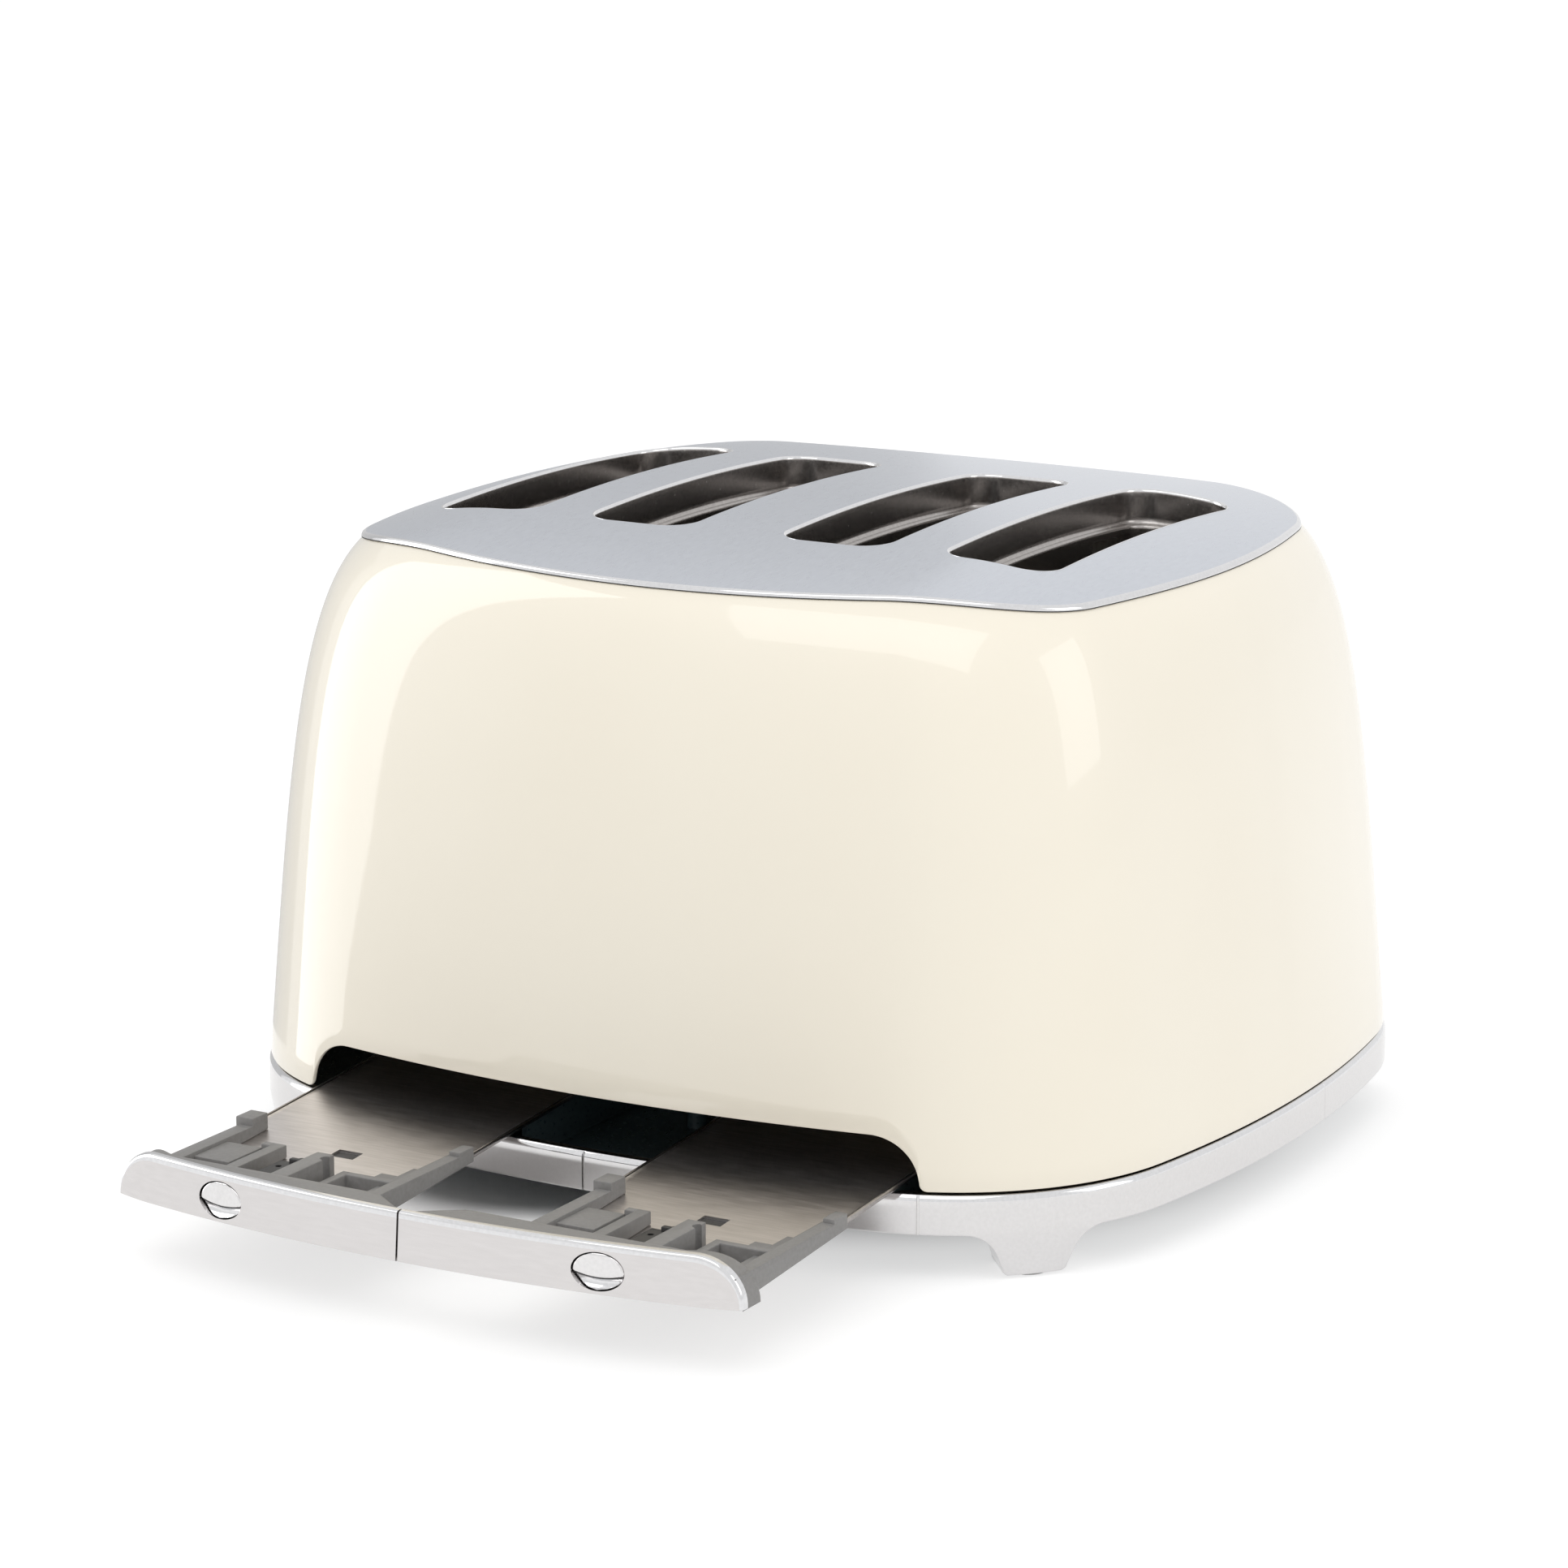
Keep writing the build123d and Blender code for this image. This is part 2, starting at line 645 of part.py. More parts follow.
with BuildPart() as cord_gland:
    post(0, GLAND_Y, RING_Z - GLAND_FLANGE[1], RING_Z, GLAND_FLANGE[0])
    post(0, GLAND_Y, RING_Z, GLAND_TOP, GLAND_RADIUS)
    post(0, GLAND_Y, 0, LIP_TOP, GLAND_BORE, mode=Mode.SUBTRACT)
save(cord_gland.part, "cord_gland")

with BuildPart() as terminal_block:
    half_x, half_y = TERMINAL_HALF
    block(-half_x, half_x, TERMINAL_Y - half_y, TERMINAL_Y + half_y, BASE_TOP, TERMINAL_TOP)
    for x in TERMINAL_XS:
        post(x, TERMINAL_Y, TERMINAL_SCREW_Z, TERMINAL_TOP, TERMINAL_SCREW, mode=Mode.SUBTRACT)
        plunger(x, TERMINAL_WAY_Z, TERMINAL_Y - half_y, TERMINAL_Y - 1, TERMINAL_WAY, mode=Mode.SUBTRACT)
save(terminal_block.part, "terminal_block")

# Chassis plates: they carry the heater cards, guide the guards and hold the lift rods
GUARD_XS = {
    f"{name}_{way}": [side * near - move * GUARD_OFFSET for near in (SLOT_NEAR, SLOT_FAR)]
    for name, side in SIDES.items()
    for way, move in (("out", 1), ("in", -1))
}
GUARD_WAYS = {name: 1 if name.endswith("out") else -1 for name in GUARD_XS}


def chassis_plate(sign):
    """Oven end plate at one end: panel, three legs with feet, and slots for the guard wires."""
    face = CHASSIS_Y if sign > 0 else -CHASSIS_Y - CHASSIS
    foot_y = sorted((sign * (CHASSIS_Y + CHASSIS), sign * (BOSS_Y + BOSS_RADIUS)))
    with BuildPart() as plate:
        block(-CHASSIS_HALF, CHASSIS_HALF, face, face + CHASSIS, CHASSIS_LOW, CHASSIS_HIGH)
        for x in (-LEG_X, 0, LEG_X):
            block(x - LEG_WIDTH / 2, x + LEG_WIDTH / 2, face, face + CHASSIS, BOSS_TOP, CHASSIS_LOW)
            block(x - LEG_WIDTH / 2, x + LEG_WIDTH / 2, *foot_y, BOSS_TOP, BOSS_TOP + CHASSIS)
        for x, y in BOSS_SPOTS:
            post(x, y, BOSS_TOP, SCREW_TIP, SCREW_RADIUS, mode=Mode.SUBTRACT)
        for name, places in GUARD_XS.items():
            for x in places:
                way = GUARD_WAYS[name]
                ends = sorted((x - way * 2 * GUARD_WIRE, x + way * (GUARD_TRAVEL + 2 * GUARD_WIRE)))
                for z in (GUARD_LOW, GUARD_HIGH):
                    block(*ends, face, face + CHASSIS, z - 2 * GUARD_WIRE, z + 2 * GUARD_WIRE, Mode.SUBTRACT)
    return plate.part


with BuildPart() as rear_chassis:
    add(chassis_plate(1))
save(rear_chassis.part, "rear_chassis")

with BuildPart() as front_chassis:
    add(chassis_plate(-1))
    for x in SLOT_XS:
        slot_top = RACK_TOP + RACK_SLOT_HALF
        ends = (x - RACK_SLOT_HALF, x + RACK_SLOT_HALF)
        block(*ends, -CHASSIS_Y - CHASSIS, -CHASSIS_Y, CHASSIS_LOW, slot_top, Mode.SUBTRACT)
    for side in SIDES.values():
        middle = side * PAIR_X
        low = ROD_LOW - TAB
        block(middle - TAB_HALF, middle + TAB_HALF, -CHASSIS_Y - CHASSIS, -CHASSIS_Y, low, CHASSIS_LOW)
        block(middle - TAB_HALF, middle + TAB_HALF, TAB_REACH, -CHASSIS_Y - CHASSIS, ROD_HIGH, ROD_HIGH + TAB)
        for near, far in ((-TAB_HALF, -TAB_GAP), (TAB_GAP, TAB_HALF)):
            block(middle + near, middle + far, TAB_REACH, -CHASSIS_Y - CHASSIS, low, ROD_LOW)
save(front_chassis.part, "front_chassis")

# Heater cards: mica sheets with flat resistance ribbon on the sides that face bread
CARD_SPOTS = {
    "inner": (SLOT_NEAR - CARD_OFFSET, (1,)),
    "middle": (PAIR_X, (-1, 1)),
    "outer": (SLOT_FAR + CARD_OFFSET, (-1,)),
}
for name, side in SIDES.items():
    for place, (x, faces) in CARD_SPOTS.items():
        with BuildPart() as heater_card:
            x_mid = side * x
            block(x_mid - CARD / 2, x_mid + CARD / 2, -CHASSIS_Y, CHASSIS_Y, CARD_LOW, CARD_HIGH)
            for face in faces:
                way = side * face
                near, far = sorted((x_mid + way * CARD / 2, x_mid + way * (CARD / 2 + RIBBON)))
                for row in range(RIBBON_ROWS):
                    z = CARD_LOW + (row + 0.5) * (CARD_HIGH - CARD_LOW) / RIBBON_ROWS
                    block(near, far, -RIBBON_HALF, RIBBON_HALF, z - RIBBON_BAND, z + RIBBON_BAND)
        save(heater_card.part, f"heater_card_{name}_{place}")

# Bread guards: wire grilles that close on the bread; those that move together share a piece
for name, places in GUARD_XS.items():
    with BuildPart() as bread_guards:
        for x in places:
            for z in (GUARD_LOW, GUARD_HIGH):
                plunger(x, z, -GUARD_HALF, GUARD_HALF, GUARD_WIRE)
            for bar in range(GUARD_BARS):
                y = RACK_HALF * (2 * bar / (GUARD_BARS - 1) - 1)
                post(x, y, GUARD_LOW, GUARD_HIGH, GUARD_BAR)
    save(bread_guards.part, f"bread_guards_{name}")

# Bread racks: a blade through the front chassis, with cross rests for the slice
for number, x in enumerate(SLOT_XS, start=1):
    with BuildPart() as bread_rack:
        blade = RACK_BLADE / 2
        block(x - blade, x + blade, CARRIAGE_Y + CARRIAGE, RACK_HALF, RACK_TOP - RACK_DEPTH, RACK_TOP)
        for rest in range(RACK_RESTS):
            y = (RACK_HALF - RACK_REST_HALF) * (2 * rest / (RACK_RESTS - 1) - 1)
            ends = (x - RACK_REST_HALF, x + RACK_REST_HALF, y - RACK_REST_BAND, y + RACK_REST_BAND)
            block(*ends, RACK_TOP - RACK_BLADE, RACK_TOP)
    save(bread_rack.part, f"bread_rack_{number}")

# Lift of each pair of slots: carriage on two rods, return spring, holding magnet and lever knob
for name, side in SIDES.items():
    middle = side * PAIR_X
    back = CARRIAGE_Y + CARRIAGE
    with BuildPart() as carriage:
        block(middle - CARRIAGE_HALF, middle + CARRIAGE_HALF, CARRIAGE_Y, back, CARRIAGE_LOW, CARRIAGE_HIGH)
        stem_top = LEVER_Z + LEVER_TALL / 2 + STEM_OVER
        block(middle - STEM_HALF, middle + STEM_HALF, CARRIAGE_Y, back, CARRIAGE_HIGH, stem_top)
        block(
            middle - LEVER_HALF,
            middle + LEVER_HALF,
            LEVER_END,
            CARRIAGE_Y,
            LEVER_Z - LEVER_TALL / 2,
            LEVER_Z + LEVER_TALL / 2,
        )
        ends = (middle - ARMATURE_HALF, middle + ARMATURE_HALF)
        block(*ends, CARRIAGE_Y - ARMATURE_REACH, back, BUSH_LOW, CARRIAGE_LOW)
        ends = (middle + SPRING_SEAT[0], middle + SPRING_SEAT[1])
        block(*ends, CARRIAGE_Y - SPRING_SEAT_REACH, CARRIAGE_Y, CARRIAGE_HIGH - TAB, CARRIAGE_HIGH)
        for x in (middle - ROD_OFFSET, middle + ROD_OFFSET):
            post(x, ROD_Y, BUSH_LOW, BUSH_HIGH, BUSH_RADIUS)
        for x in (middle - ROD_OFFSET, middle + ROD_OFFSET):
            post(x, ROD_Y, BUSH_LOW, BUSH_HIGH, ROD_RADIUS + ROD_CLEARANCE, mode=Mode.SUBTRACT)
    save(carriage.part, f"carriage_{name}")

    with BuildPart() as guide_rods:
        for x in (middle - ROD_OFFSET, middle + ROD_OFFSET):
            post(x, ROD_Y, ROD_LOW, ROD_HIGH, ROD_RADIUS)
    save(guide_rods.part, f"guide_rods_{name}")

    with BuildPart() as return_spring:
        spring_x = middle + SPRING_OFFSET
        post(spring_x, SPRING_Y, CARRIAGE_HIGH + SPRING_GAP, ROD_HIGH - SPRING_GAP, SPRING_RADIUS)
        post(spring_x, SPRING_Y, CARRIAGE_HIGH, ROD_HIGH, SPRING_BORE, mode=Mode.SUBTRACT)
    save(return_spring.part, f"return_spring_{name}")

    with BuildPart() as hold_magnet:
        ends = (middle - MAGNET_HALF, middle + MAGNET_HALF)
        plate = -CHASSIS_Y - CHASSIS
        block(*ends, MAGNET_Y - MAGNET_COIL, plate, MAGNET_LOW, MAGNET_FLOOR)
        block(*ends, plate - TAB, plate, MAGNET_FLOOR, MAGNET_BRACKET_TOP)
        post(middle, MAGNET_Y, MAGNET_FLOOR, MAGNET_COIL_TOP, MAGNET_COIL)
        post(middle, MAGNET_Y, MAGNET_COIL_TOP, MAGNET_TOP, MAGNET_CORE)
    save(hold_magnet.part, f"hold_magnet_{name}")

    with BuildPart() as lever_knob:
        block(
            middle - KNOB_HALF,
            middle + KNOB_HALF,
            KNOB_FRONT,
            KNOB_BACK,
            LEVER_Z - KNOB_TALL / 2,
            LEVER_Z + KNOB_TALL / 2,
        )
        fillet(lever_knob.edges(), KNOB_ROUND)
        block(
            middle - LEVER_HALF,
            middle + LEVER_HALF,
            LEVER_END,
            KNOB_BACK,
            LEVER_Z - LEVER_TALL / 2,
            LEVER_Z + LEVER_TALL / 2,
            Mode.SUBTRACT,
        )
    save(lever_knob.part, f"lever_knob_{name}")

# Controls of each side: board, dial with its ring, and three push buttons
for name, side in SIDES.items():
    middle = side * PAIR_X
    with BuildPart() as control_board:
        block(middle - BOARD_HALF, middle + BOARD_HALF, BOARD_Y, BOARD_Y + BOARD, BOARD_LOW, BOARD_HIGH)
        block(middle - POT_HALF, middle + POT_HALF, POT_FRONT, BOARD_Y, DIAL_Z - POT_HALF, DIAL_Z + POT_HALF)
        plunger(middle, DIAL_Z, POT_FRONT, DIAL_SHAFT_END + 1, DIAL_SHAFT + ROD_CLEARANCE, mode=Mode.SUBTRACT)
        for angle in BUTTON_ANGLES:
            x, z = button_spot(side, angle)
            block(x - SWITCH, x + SWITCH, BOARD_Y - SWITCH, BOARD_Y, z - SWITCH, z + SWITCH)
    save(control_board.part, f"control_board_{name}")

    with BuildPart() as dial_ring:
        plunger(middle, DIAL_Z, DIAL_RING_FRONT, -CHASSIS_Y, DIAL_RING_RADIUS)
        add(OUTER_BODY, mode=Mode.SUBTRACT)
        fillet(dial_ring.faces().sort_by(Axis.Y)[0].edges(), DIAL_RING_ROUND)
        plunger(middle, DIAL_Z, DIAL_RING_FRONT, -CHASSIS_Y, DIAL_SHAFT + BUTTON_GAP, mode=Mode.SUBTRACT)
    save(dial_ring.part, f"dial_ring_{name}")

    with BuildPart() as dial_knob:
        plunger(middle, DIAL_Z, DIAL_FRONT, DIAL_BACK, DIAL_RADIUS)
        fillet(dial_knob.faces().sort_by(Axis.Y)[0].edges(), DIAL_ROUND)
        block(
            middle - DIAL_NOTCH,
            middle + DIAL_NOTCH,
            DIAL_FRONT,
            DIAL_FRONT + DIAL_NOTCH,
            DIAL_Z + DIAL_RADIUS / 3,
            DIAL_Z + DIAL_RADIUS,
            Mode.SUBTRACT,
        )
        plunger(middle, DIAL_Z, DIAL_BACK, DIAL_SHAFT_END, DIAL_SHAFT)
    save(dial_knob.part, f"dial_knob_{name}")

    for label, angle in zip(BUTTON_NAMES, BUTTON_ANGLES):
        x, z = button_spot(side, angle)
        with BuildPart() as button:
            plunger(x, z, front_y(x, z) - BUTTON_PROUD, BUTTON_CAP_END, BUTTON_RADIUS)
            fillet(button.faces().sort_by(Axis.Y)[0].edges(), BUTTON_ROUND)
            plunger(x, z, BUTTON_CAP_END, BUTTON_STEM_END, BUTTON_STEM)
        save(button.part, f"{label}_button_{name}")

# Crumb trays: fascia, moulded frame, pan, push button and latch, shaped shut and then drawn out
for name, side in SIDES.items():
    half_low = min(side * PARTING, side * HALF_WIDTH)
    half_high = max(side * PARTING, side * HALF_WIDTH)
    centre = side * TRAY_X

    with BuildPart() as tray_fascia:
        add(FASCIA_FRONT)
        add(FASCIA_REAR, mode=Mode.SUBTRACT)
        with BuildSketch(REAR):
            add(arch(FASCIA_GAP, FASCIA_Z))
        extrude(amount=2 * HALF_DEPTH, mode=Mode.INTERSECT)
        block(half_low, half_high, 0, 2 * HALF_DEPTH, 0, ARCH_TOP, Mode.INTERSECT)
        with BuildSketch(REAR):
            with Locations((-side * PUSH_X, PUSH_Z)):
                Ellipse(PUSH_HALF_WIDTH + PUSH_GAP, PUSH_HALF_HEIGHT + PUSH_GAP)
        extrude(amount=2 * HALF_DEPTH, mode=Mode.SUBTRACT)
    save(tray_fascia.part.moved(PULLED), f"tray_fascia_{name}")

    with BuildPart() as bar_end:
        inner, outer = BAR_END_XS
        for near, far, lift in ((inner, outer, PAN_RIM + RUNNER_GAP), (outer, ARCH_HALF, 0)):
            low, high = sorted((side * near, side * far))
            add(rib(low, high, BAR_END_BACK, BAR_BACK, lift, ARCH_TOP))
        with BuildSketch(REAR):
            add(arch(2 * FASCIA_GAP, FASCIA_Z))
        extrude(amount=2 * HALF_DEPTH, mode=Mode.INTERSECT)

    with BuildPart() as tray_frame:
        with BuildSketch(REAR.offset(BAR_BACK)):
            add(arch(2 * FASCIA_GAP, FASCIA_Z))
        extrude(amount=HALF_DEPTH)
        block(half_low, half_high, 0, 2 * HALF_DEPTH, 0, ARCH_TOP, Mode.INTERSECT)
        add(bar_end.part)
        for low, high, near, far, top in FRAME_RIBS.values():
            add(rib(centre + low, centre + high, near, far, PAN_FLOOR, top))
        skirt_low, skirt_high = (centre + edge for edge in SKIRT)
        pan_edge = centre + FRAME_RIBS["minus_arm"][0]
        flange = slide_z(SKIRT_END) + PAN_RIM + RUNNER_GAP
        add(rib(skirt_low, skirt_high, SKIRT_END, BAR_BACK, 0, FRAME_TOP))
        add(rib(skirt_low, pan_edge, SKIRT_END, SKIRT_TAB_END, PAN_RIM + RUNNER_GAP, SKIRT_TAB_TOP))
        block(skirt_low, pan_edge, SKIRT_END, BAR_BACK, flange, FRAME_TOP)
        channel_x = centre + FRAME_RIBS["channel_wall"][0]
        post(channel_x, CHANNEL_Y, SEAM_Z, ARCH_TOP, CHANNEL_RADIUS, mode=Mode.SUBTRACT)
        add(FASCIA_REAR, mode=Mode.INTERSECT)
        with BuildSketch(REAR):
            with Locations((-side * PUSH_X, PUSH_Z)):
                Ellipse(PUSH_HALF_WIDTH + PUSH_GAP, PUSH_HALF_HEIGHT + PUSH_GAP)
        extrude(amount=2 * HALF_DEPTH, mode=Mode.SUBTRACT)
    save(tray_frame.part.moved(PULLED), f"tray_frame_{name}")

    with BuildPart() as tray_pan:
        pan_low = centre - PAN_HALF
        pan_high = centre + PAN_HALF
        add(sloped_bar(pan_low, pan_high, PAN_END, PAN_FRONT, 0, PAN_RIM))
        add(
            sloped_bar(
                pan_low + PAN_FLOOR, pan_high - PAN_FLOOR, PAN_END + PAN_FLOOR, PAN_FRONT, PAN_FLOOR, PAN_RIM
            ),
            mode=Mode.SUBTRACT,
        )
        slot_low, slot_high = (centre + edge for edge in PAN_SLOT_X)
        block(slot_low, slot_high, *PAN_SLOT_Y, 0, ARCH_TOP, Mode.SUBTRACT)
    save(tray_pan.part.moved(PULLED), f"tray_pan_{name}")

    with BuildPart() as tray_push:
        with BuildSketch(REAR):
            with Locations((-side * PUSH_X, PUSH_Z)):
                Ellipse(PUSH_HALF_WIDTH, PUSH_HALF_HEIGHT)
        extrude(amount=2 * HALF_DEPTH)
        add(FASCIA_FRONT, mode=Mode.INTERSECT)
        block(-HALF_WIDTH, HALF_WIDTH, PUSH_CAP_BACK, 2 * HALF_DEPTH, 0, ARCH_TOP, Mode.INTERSECT)
        scoop_y = FASCIA_PROUD - front_y(PUSH_X, PUSH_Z) + PUSH_SCOOP_RADIUS - PUSH_SCOOP_DEPTH
        with Locations(Location((side * PUSH_X, scoop_y, PUSH_Z - PUSH_HALF_HEIGHT), (0, 90, 0))):
            Cylinder(PUSH_SCOOP_RADIUS, 4 * PUSH_HALF_WIDTH, mode=Mode.SUBTRACT)
        block(
            side * PUSH_X - PUSH_STEM,
            side * PUSH_X + PUSH_STEM,
            BAR_BACK - PUSH_TRAVEL,
            PUSH_CAP_BACK,
            PUSH_Z - PUSH_STEM / 2,
            PUSH_Z + PUSH_STEM / 2,
        )
    save(tray_push.part.moved(PULLED), f"tray_push_{name}")

    with BuildPart() as tray_latch:
        latch_x = side * PUSH_X
        latch_low = latch_x - LATCH_HALF
        latch_high = latch_x + LATCH_HALF
        add(sloped_bar(latch_low, latch_high, LATCH_END, BAR_BACK - PUSH_TRAVEL, 2 * PAN_FLOOR, LATCH))
    save(tray_latch.part.moved(PULLED), f"tray_latch_{name}")
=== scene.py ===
"""Looks of a four-slot pop-up toaster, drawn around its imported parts.

Lengths are in millimetres until a mesh is made. The crumb trays leave at +Y and the levers face -Y.
"""

import math

import bmesh
import bpy
from mathutils import Matrix, Vector


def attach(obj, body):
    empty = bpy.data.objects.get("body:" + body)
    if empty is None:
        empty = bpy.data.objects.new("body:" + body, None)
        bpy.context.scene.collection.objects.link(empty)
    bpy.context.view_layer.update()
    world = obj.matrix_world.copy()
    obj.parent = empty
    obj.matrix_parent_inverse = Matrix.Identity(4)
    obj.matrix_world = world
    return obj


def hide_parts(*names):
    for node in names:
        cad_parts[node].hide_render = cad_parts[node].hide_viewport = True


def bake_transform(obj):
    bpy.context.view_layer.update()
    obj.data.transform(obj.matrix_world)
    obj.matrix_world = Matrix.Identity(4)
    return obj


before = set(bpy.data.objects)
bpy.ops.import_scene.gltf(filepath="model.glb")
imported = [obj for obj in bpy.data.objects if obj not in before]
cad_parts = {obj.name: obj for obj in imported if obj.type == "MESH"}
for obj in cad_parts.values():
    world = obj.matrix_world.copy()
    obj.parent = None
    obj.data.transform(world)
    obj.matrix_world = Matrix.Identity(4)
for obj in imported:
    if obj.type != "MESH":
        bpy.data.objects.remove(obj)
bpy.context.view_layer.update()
MM = 0.001
WELD = 1e-4
SIDES = {"left": -1, "right": 1}

# Body
HALF_WIDTH = 172.8
HALF_DEPTH = 161.1
SIDE_BOW = 27.5
CORNER_LOW = 84.0
CORNER_HIGH = 60.4
SEAM_Z = 29.1
SHOULDER_Z = 209.8
TAPER = 56.9
TAPER_STRAIGHT = 0.271
SHOULDER_POWER = 4.23
WALL = 1.2

# Crowned top and bread slots
BODY_TOP = 215.0
CROWN_FLAT = 82.2
CROWN_SIDE_RADIUS = 173.0
CROWN_LONG_RADIUS = 994.0
PLATE = 1.6
PLATE_PROUD = 0.5
SLOT_XS = (-96.0, -36.3, 36.3, 96.0)
SLOT_HALF_WIDTH = 19.0
SLOT_HALF_LENGTH = 69.5
SLOT_CORNER = 10.0
LIP = 1.0
LINER_Z = 192.0
LINER_SHEET = 0.6
LINER_WINDOWS = ((-58, -36), (30, 52))

# Base ring and feet
RING_Z = 15.2
RING_PROUD = 0.5
RING_WALL = 3.0
FOOT_Z = 1.0
FOOT_TUCK = 2.0
FOOT_DEPTH = 17.0
FOOT_SHIFT = 3.0
FOOT_TOP_HALF = 23.5
FOOT_NECK_HALF = 13.2
FOOT_NECK_Z = 8.5
FOOT_TOE_HALF = 11.0
FOOT_TOE_Z = 3.2
FOOT_SOLE_HALF = 8.8
RING_JOINT = 0.6
RING_JOINT_DEPTH = 0.9
RING_JOINT_Y = -25.0

# Crumb trays, shaped shut and then drawn out along their slope
TRAY_PULL = 105.0
TRAY_SLOPE = math.radians(4.0)
PULLED = Vector((0, TRAY_PULL * math.cos(TRAY_SLOPE), -TRAY_PULL * math.sin(TRAY_SLOPE)))
SLIDE_Y = 160.5
SLIDE_Z = 29.7
ARCH_HALF = 113.4
ARCH_TOP = 45.8
ARCH_ROUND = 16.0
ARCH_FOOT = 2.5
FASCIA_GAP = 0.6
FASCIA_PROUD = 1.0
FASCIA_BACK = 1.5
FASCIA_Z = SEAM_Z + 0.5
PARTING = 0.35
PUSH_X = 68.0
PUSH_Z = 36.6
PUSH_HALF_WIDTH = 8.3
PUSH_HALF_HEIGHT = 5.5
PUSH_GAP = 0.35
PUSH_CAP_BACK = 152.0
BAR_BACK = 147.0
BAR_END_BACK = 138.0
BAR_END_XS = (91.0, 108.2)
TRAY_X = 67.3
PAN_HALF = 40.6
PAN_FLOOR = 0.8
PAN_RIM = 1.6
PAN_END = -79.0
PAN_FRONT = 146.0
PAN_SLOT_X = (-7.8, 1.2)
PAN_SLOT_Y = (92.5, 98.5)
LATCH_HALF = 6.5
LATCH_Y = (116.0, 144.0)
FRAME_TOP = 38.8
FRAME_HIGH = 41.3
FRAME_TALL = 42.7
FRAME_LOW = 36.9
RIB_STAGGER = 0.023

# Controls
PAIR_X = 66.15
LEVER_Z = 158.0
LEVER_SLOT_HALF = 2.7
LEVER_SLOT_Z = (95.5, 165.5)
KNOB_FRONT = -177.0
KNOB_BACK = -155.0
KNOB_HALF = 18.0
KNOB_TALL = 16.0
DIAL_Z = 70.0
DIAL_RADIUS = 17.0
DIAL_FRONT = -175.0
DIAL_BACK = -159.4
DIAL_RING_RADIUS = 23.0
DIAL_RING_FRONT = -158.8
BUTTON_ARC = 31.0
BUTTON_ANGLES = {"defrost": -145, "reheat": -90, "cancel": -35}
BUTTON_RADIUS = 4.4
BUTTON_PROUD = 2.5
BUTTON_GAP = 0.4
BUTTON_CAP_END = -138.0
DIAL_NUMBERS = 6
DIAL_NUMBER_SWEEP = 125.0
DIAL_NUMBER_RADIUS = 20.0
DIAL_NUMBER_SIZE = 4.2

# Floor that keeps its full shadow, between the drawn trays and, in mirrors, under them
GAP_SHADOW = (55.0, 118.0)
GAP_SHADOW_HALF = (75.0, 58.0)
TRAY_SHADOW = (0.0, 195.0)
TRAY_SHADOW_HALF = (118.0, 80.0)

# Guards and springs inside
GUARD_OFFSET = 17.5
GUARD_WIRE = 0.8
GUARD_BAR = 0.6
GUARD_SPAN = 172.0
GUARD_LOW = 70.0
GUARD_HIGH = 182.0
GUARD_BARS = 7
GUARD_PITCH = 24.0
SPRING_OFFSET = 10.0
SPRING_Y = -97.0
SPRING_RADIUS = 3.1
SPRING_WIRE = 0.45
SPRING_LOW = 126.5
SPRING_HIGH = 185.5
SPRING_TURNS = 22


# Shape of the body


def section(height):
    """Half width, half depth and corner radius of the body at a height."""
    rise = max(0.0, (height - SEAM_Z) / (SHOULDER_Z - SEAM_Z))
    shoulder = 1 - (1 - rise**SHOULDER_POWER) ** (1 / SHOULDER_POWER)
    inset = TAPER * (TAPER_STRAIGHT * rise + (1 - TAPER_STRAIGHT) * shoulder)
    corner = CORNER_LOW + (CORNER_HIGH - CORNER_LOW) * rise
    return HALF_WIDTH - inset, HALF_DEPTH - inset, corner


def bow_radius(half_chord):
    return (half_chord**2 + SIDE_BOW**2) / (2 * SIDE_BOW)


def corner_centre(half_x, half_y, corner):
    """Centre of the corner arc that is tangent to both bowed sides."""
    end_y = half_y - bow_radius(half_x)
    side_x = half_x - bow_radius(half_y)
    to_end = bow_radius(half_x) - corner
    to_side = bow_radius(half_y) - corner
    span = math.hypot(side_x, end_y)
    along = (to_end**2 - to_side**2 + span**2) / (2 * span)
    across = math.sqrt(to_end**2 - along**2)
    step_x = side_x / span
    step_y = -end_y / span
    return along * step_x + across * step_y, end_y + along * step_y - across * step_x


def plan_point(turn, height, outset=0.0):
    """Place on the body's plan whose outward direction is a turn, at a height."""
    half_x, half_y, corner = (size + outset for size in section(height))
    across = abs(math.cos(turn))
    along = abs(math.sin(turn))
    centre_x, centre_y = corner_centre(half_x, half_y, corner)
    end_y = half_y - bow_radius(half_x)
    side_x = half_x - bow_radius(half_y)
    folded = math.atan2(along, across)
    radius = corner
    if folded > math.atan2(centre_y - end_y, centre_x):
        centre_x, centre_y, radius = 0.0, end_y, bow_radius(half_x)
    elif folded < math.atan2(centre_y, centre_x - side_x):
        centre_x, centre_y, radius = side_x, 0.0, bow_radius(half_y)
    x = centre_x + radius * across
    y = centre_y + radius * along
    return Vector((math.copysign(x, math.cos(turn)), math.copysign(y, math.sin(turn))))


def halve(low, high, too_low, steps=40):
    """Place between two bounds where a test turns from true to false."""
    for _ in range(steps):
        middle = (low + high) / 2
        if too_low(middle):
            low = middle
        else:
            high = middle
    return (low + high) / 2


def rear_turn(x, height, outset=0.0):
    """Turn of the place on the rear half of the plan that has a given x."""
    return halve(0.0, math.pi, lambda turn: plan_point(turn, height, outset).x > x)


def rear_y(x, height, outset=0.0):
    return plan_point(rear_turn(x, height, outset), height, outset).y


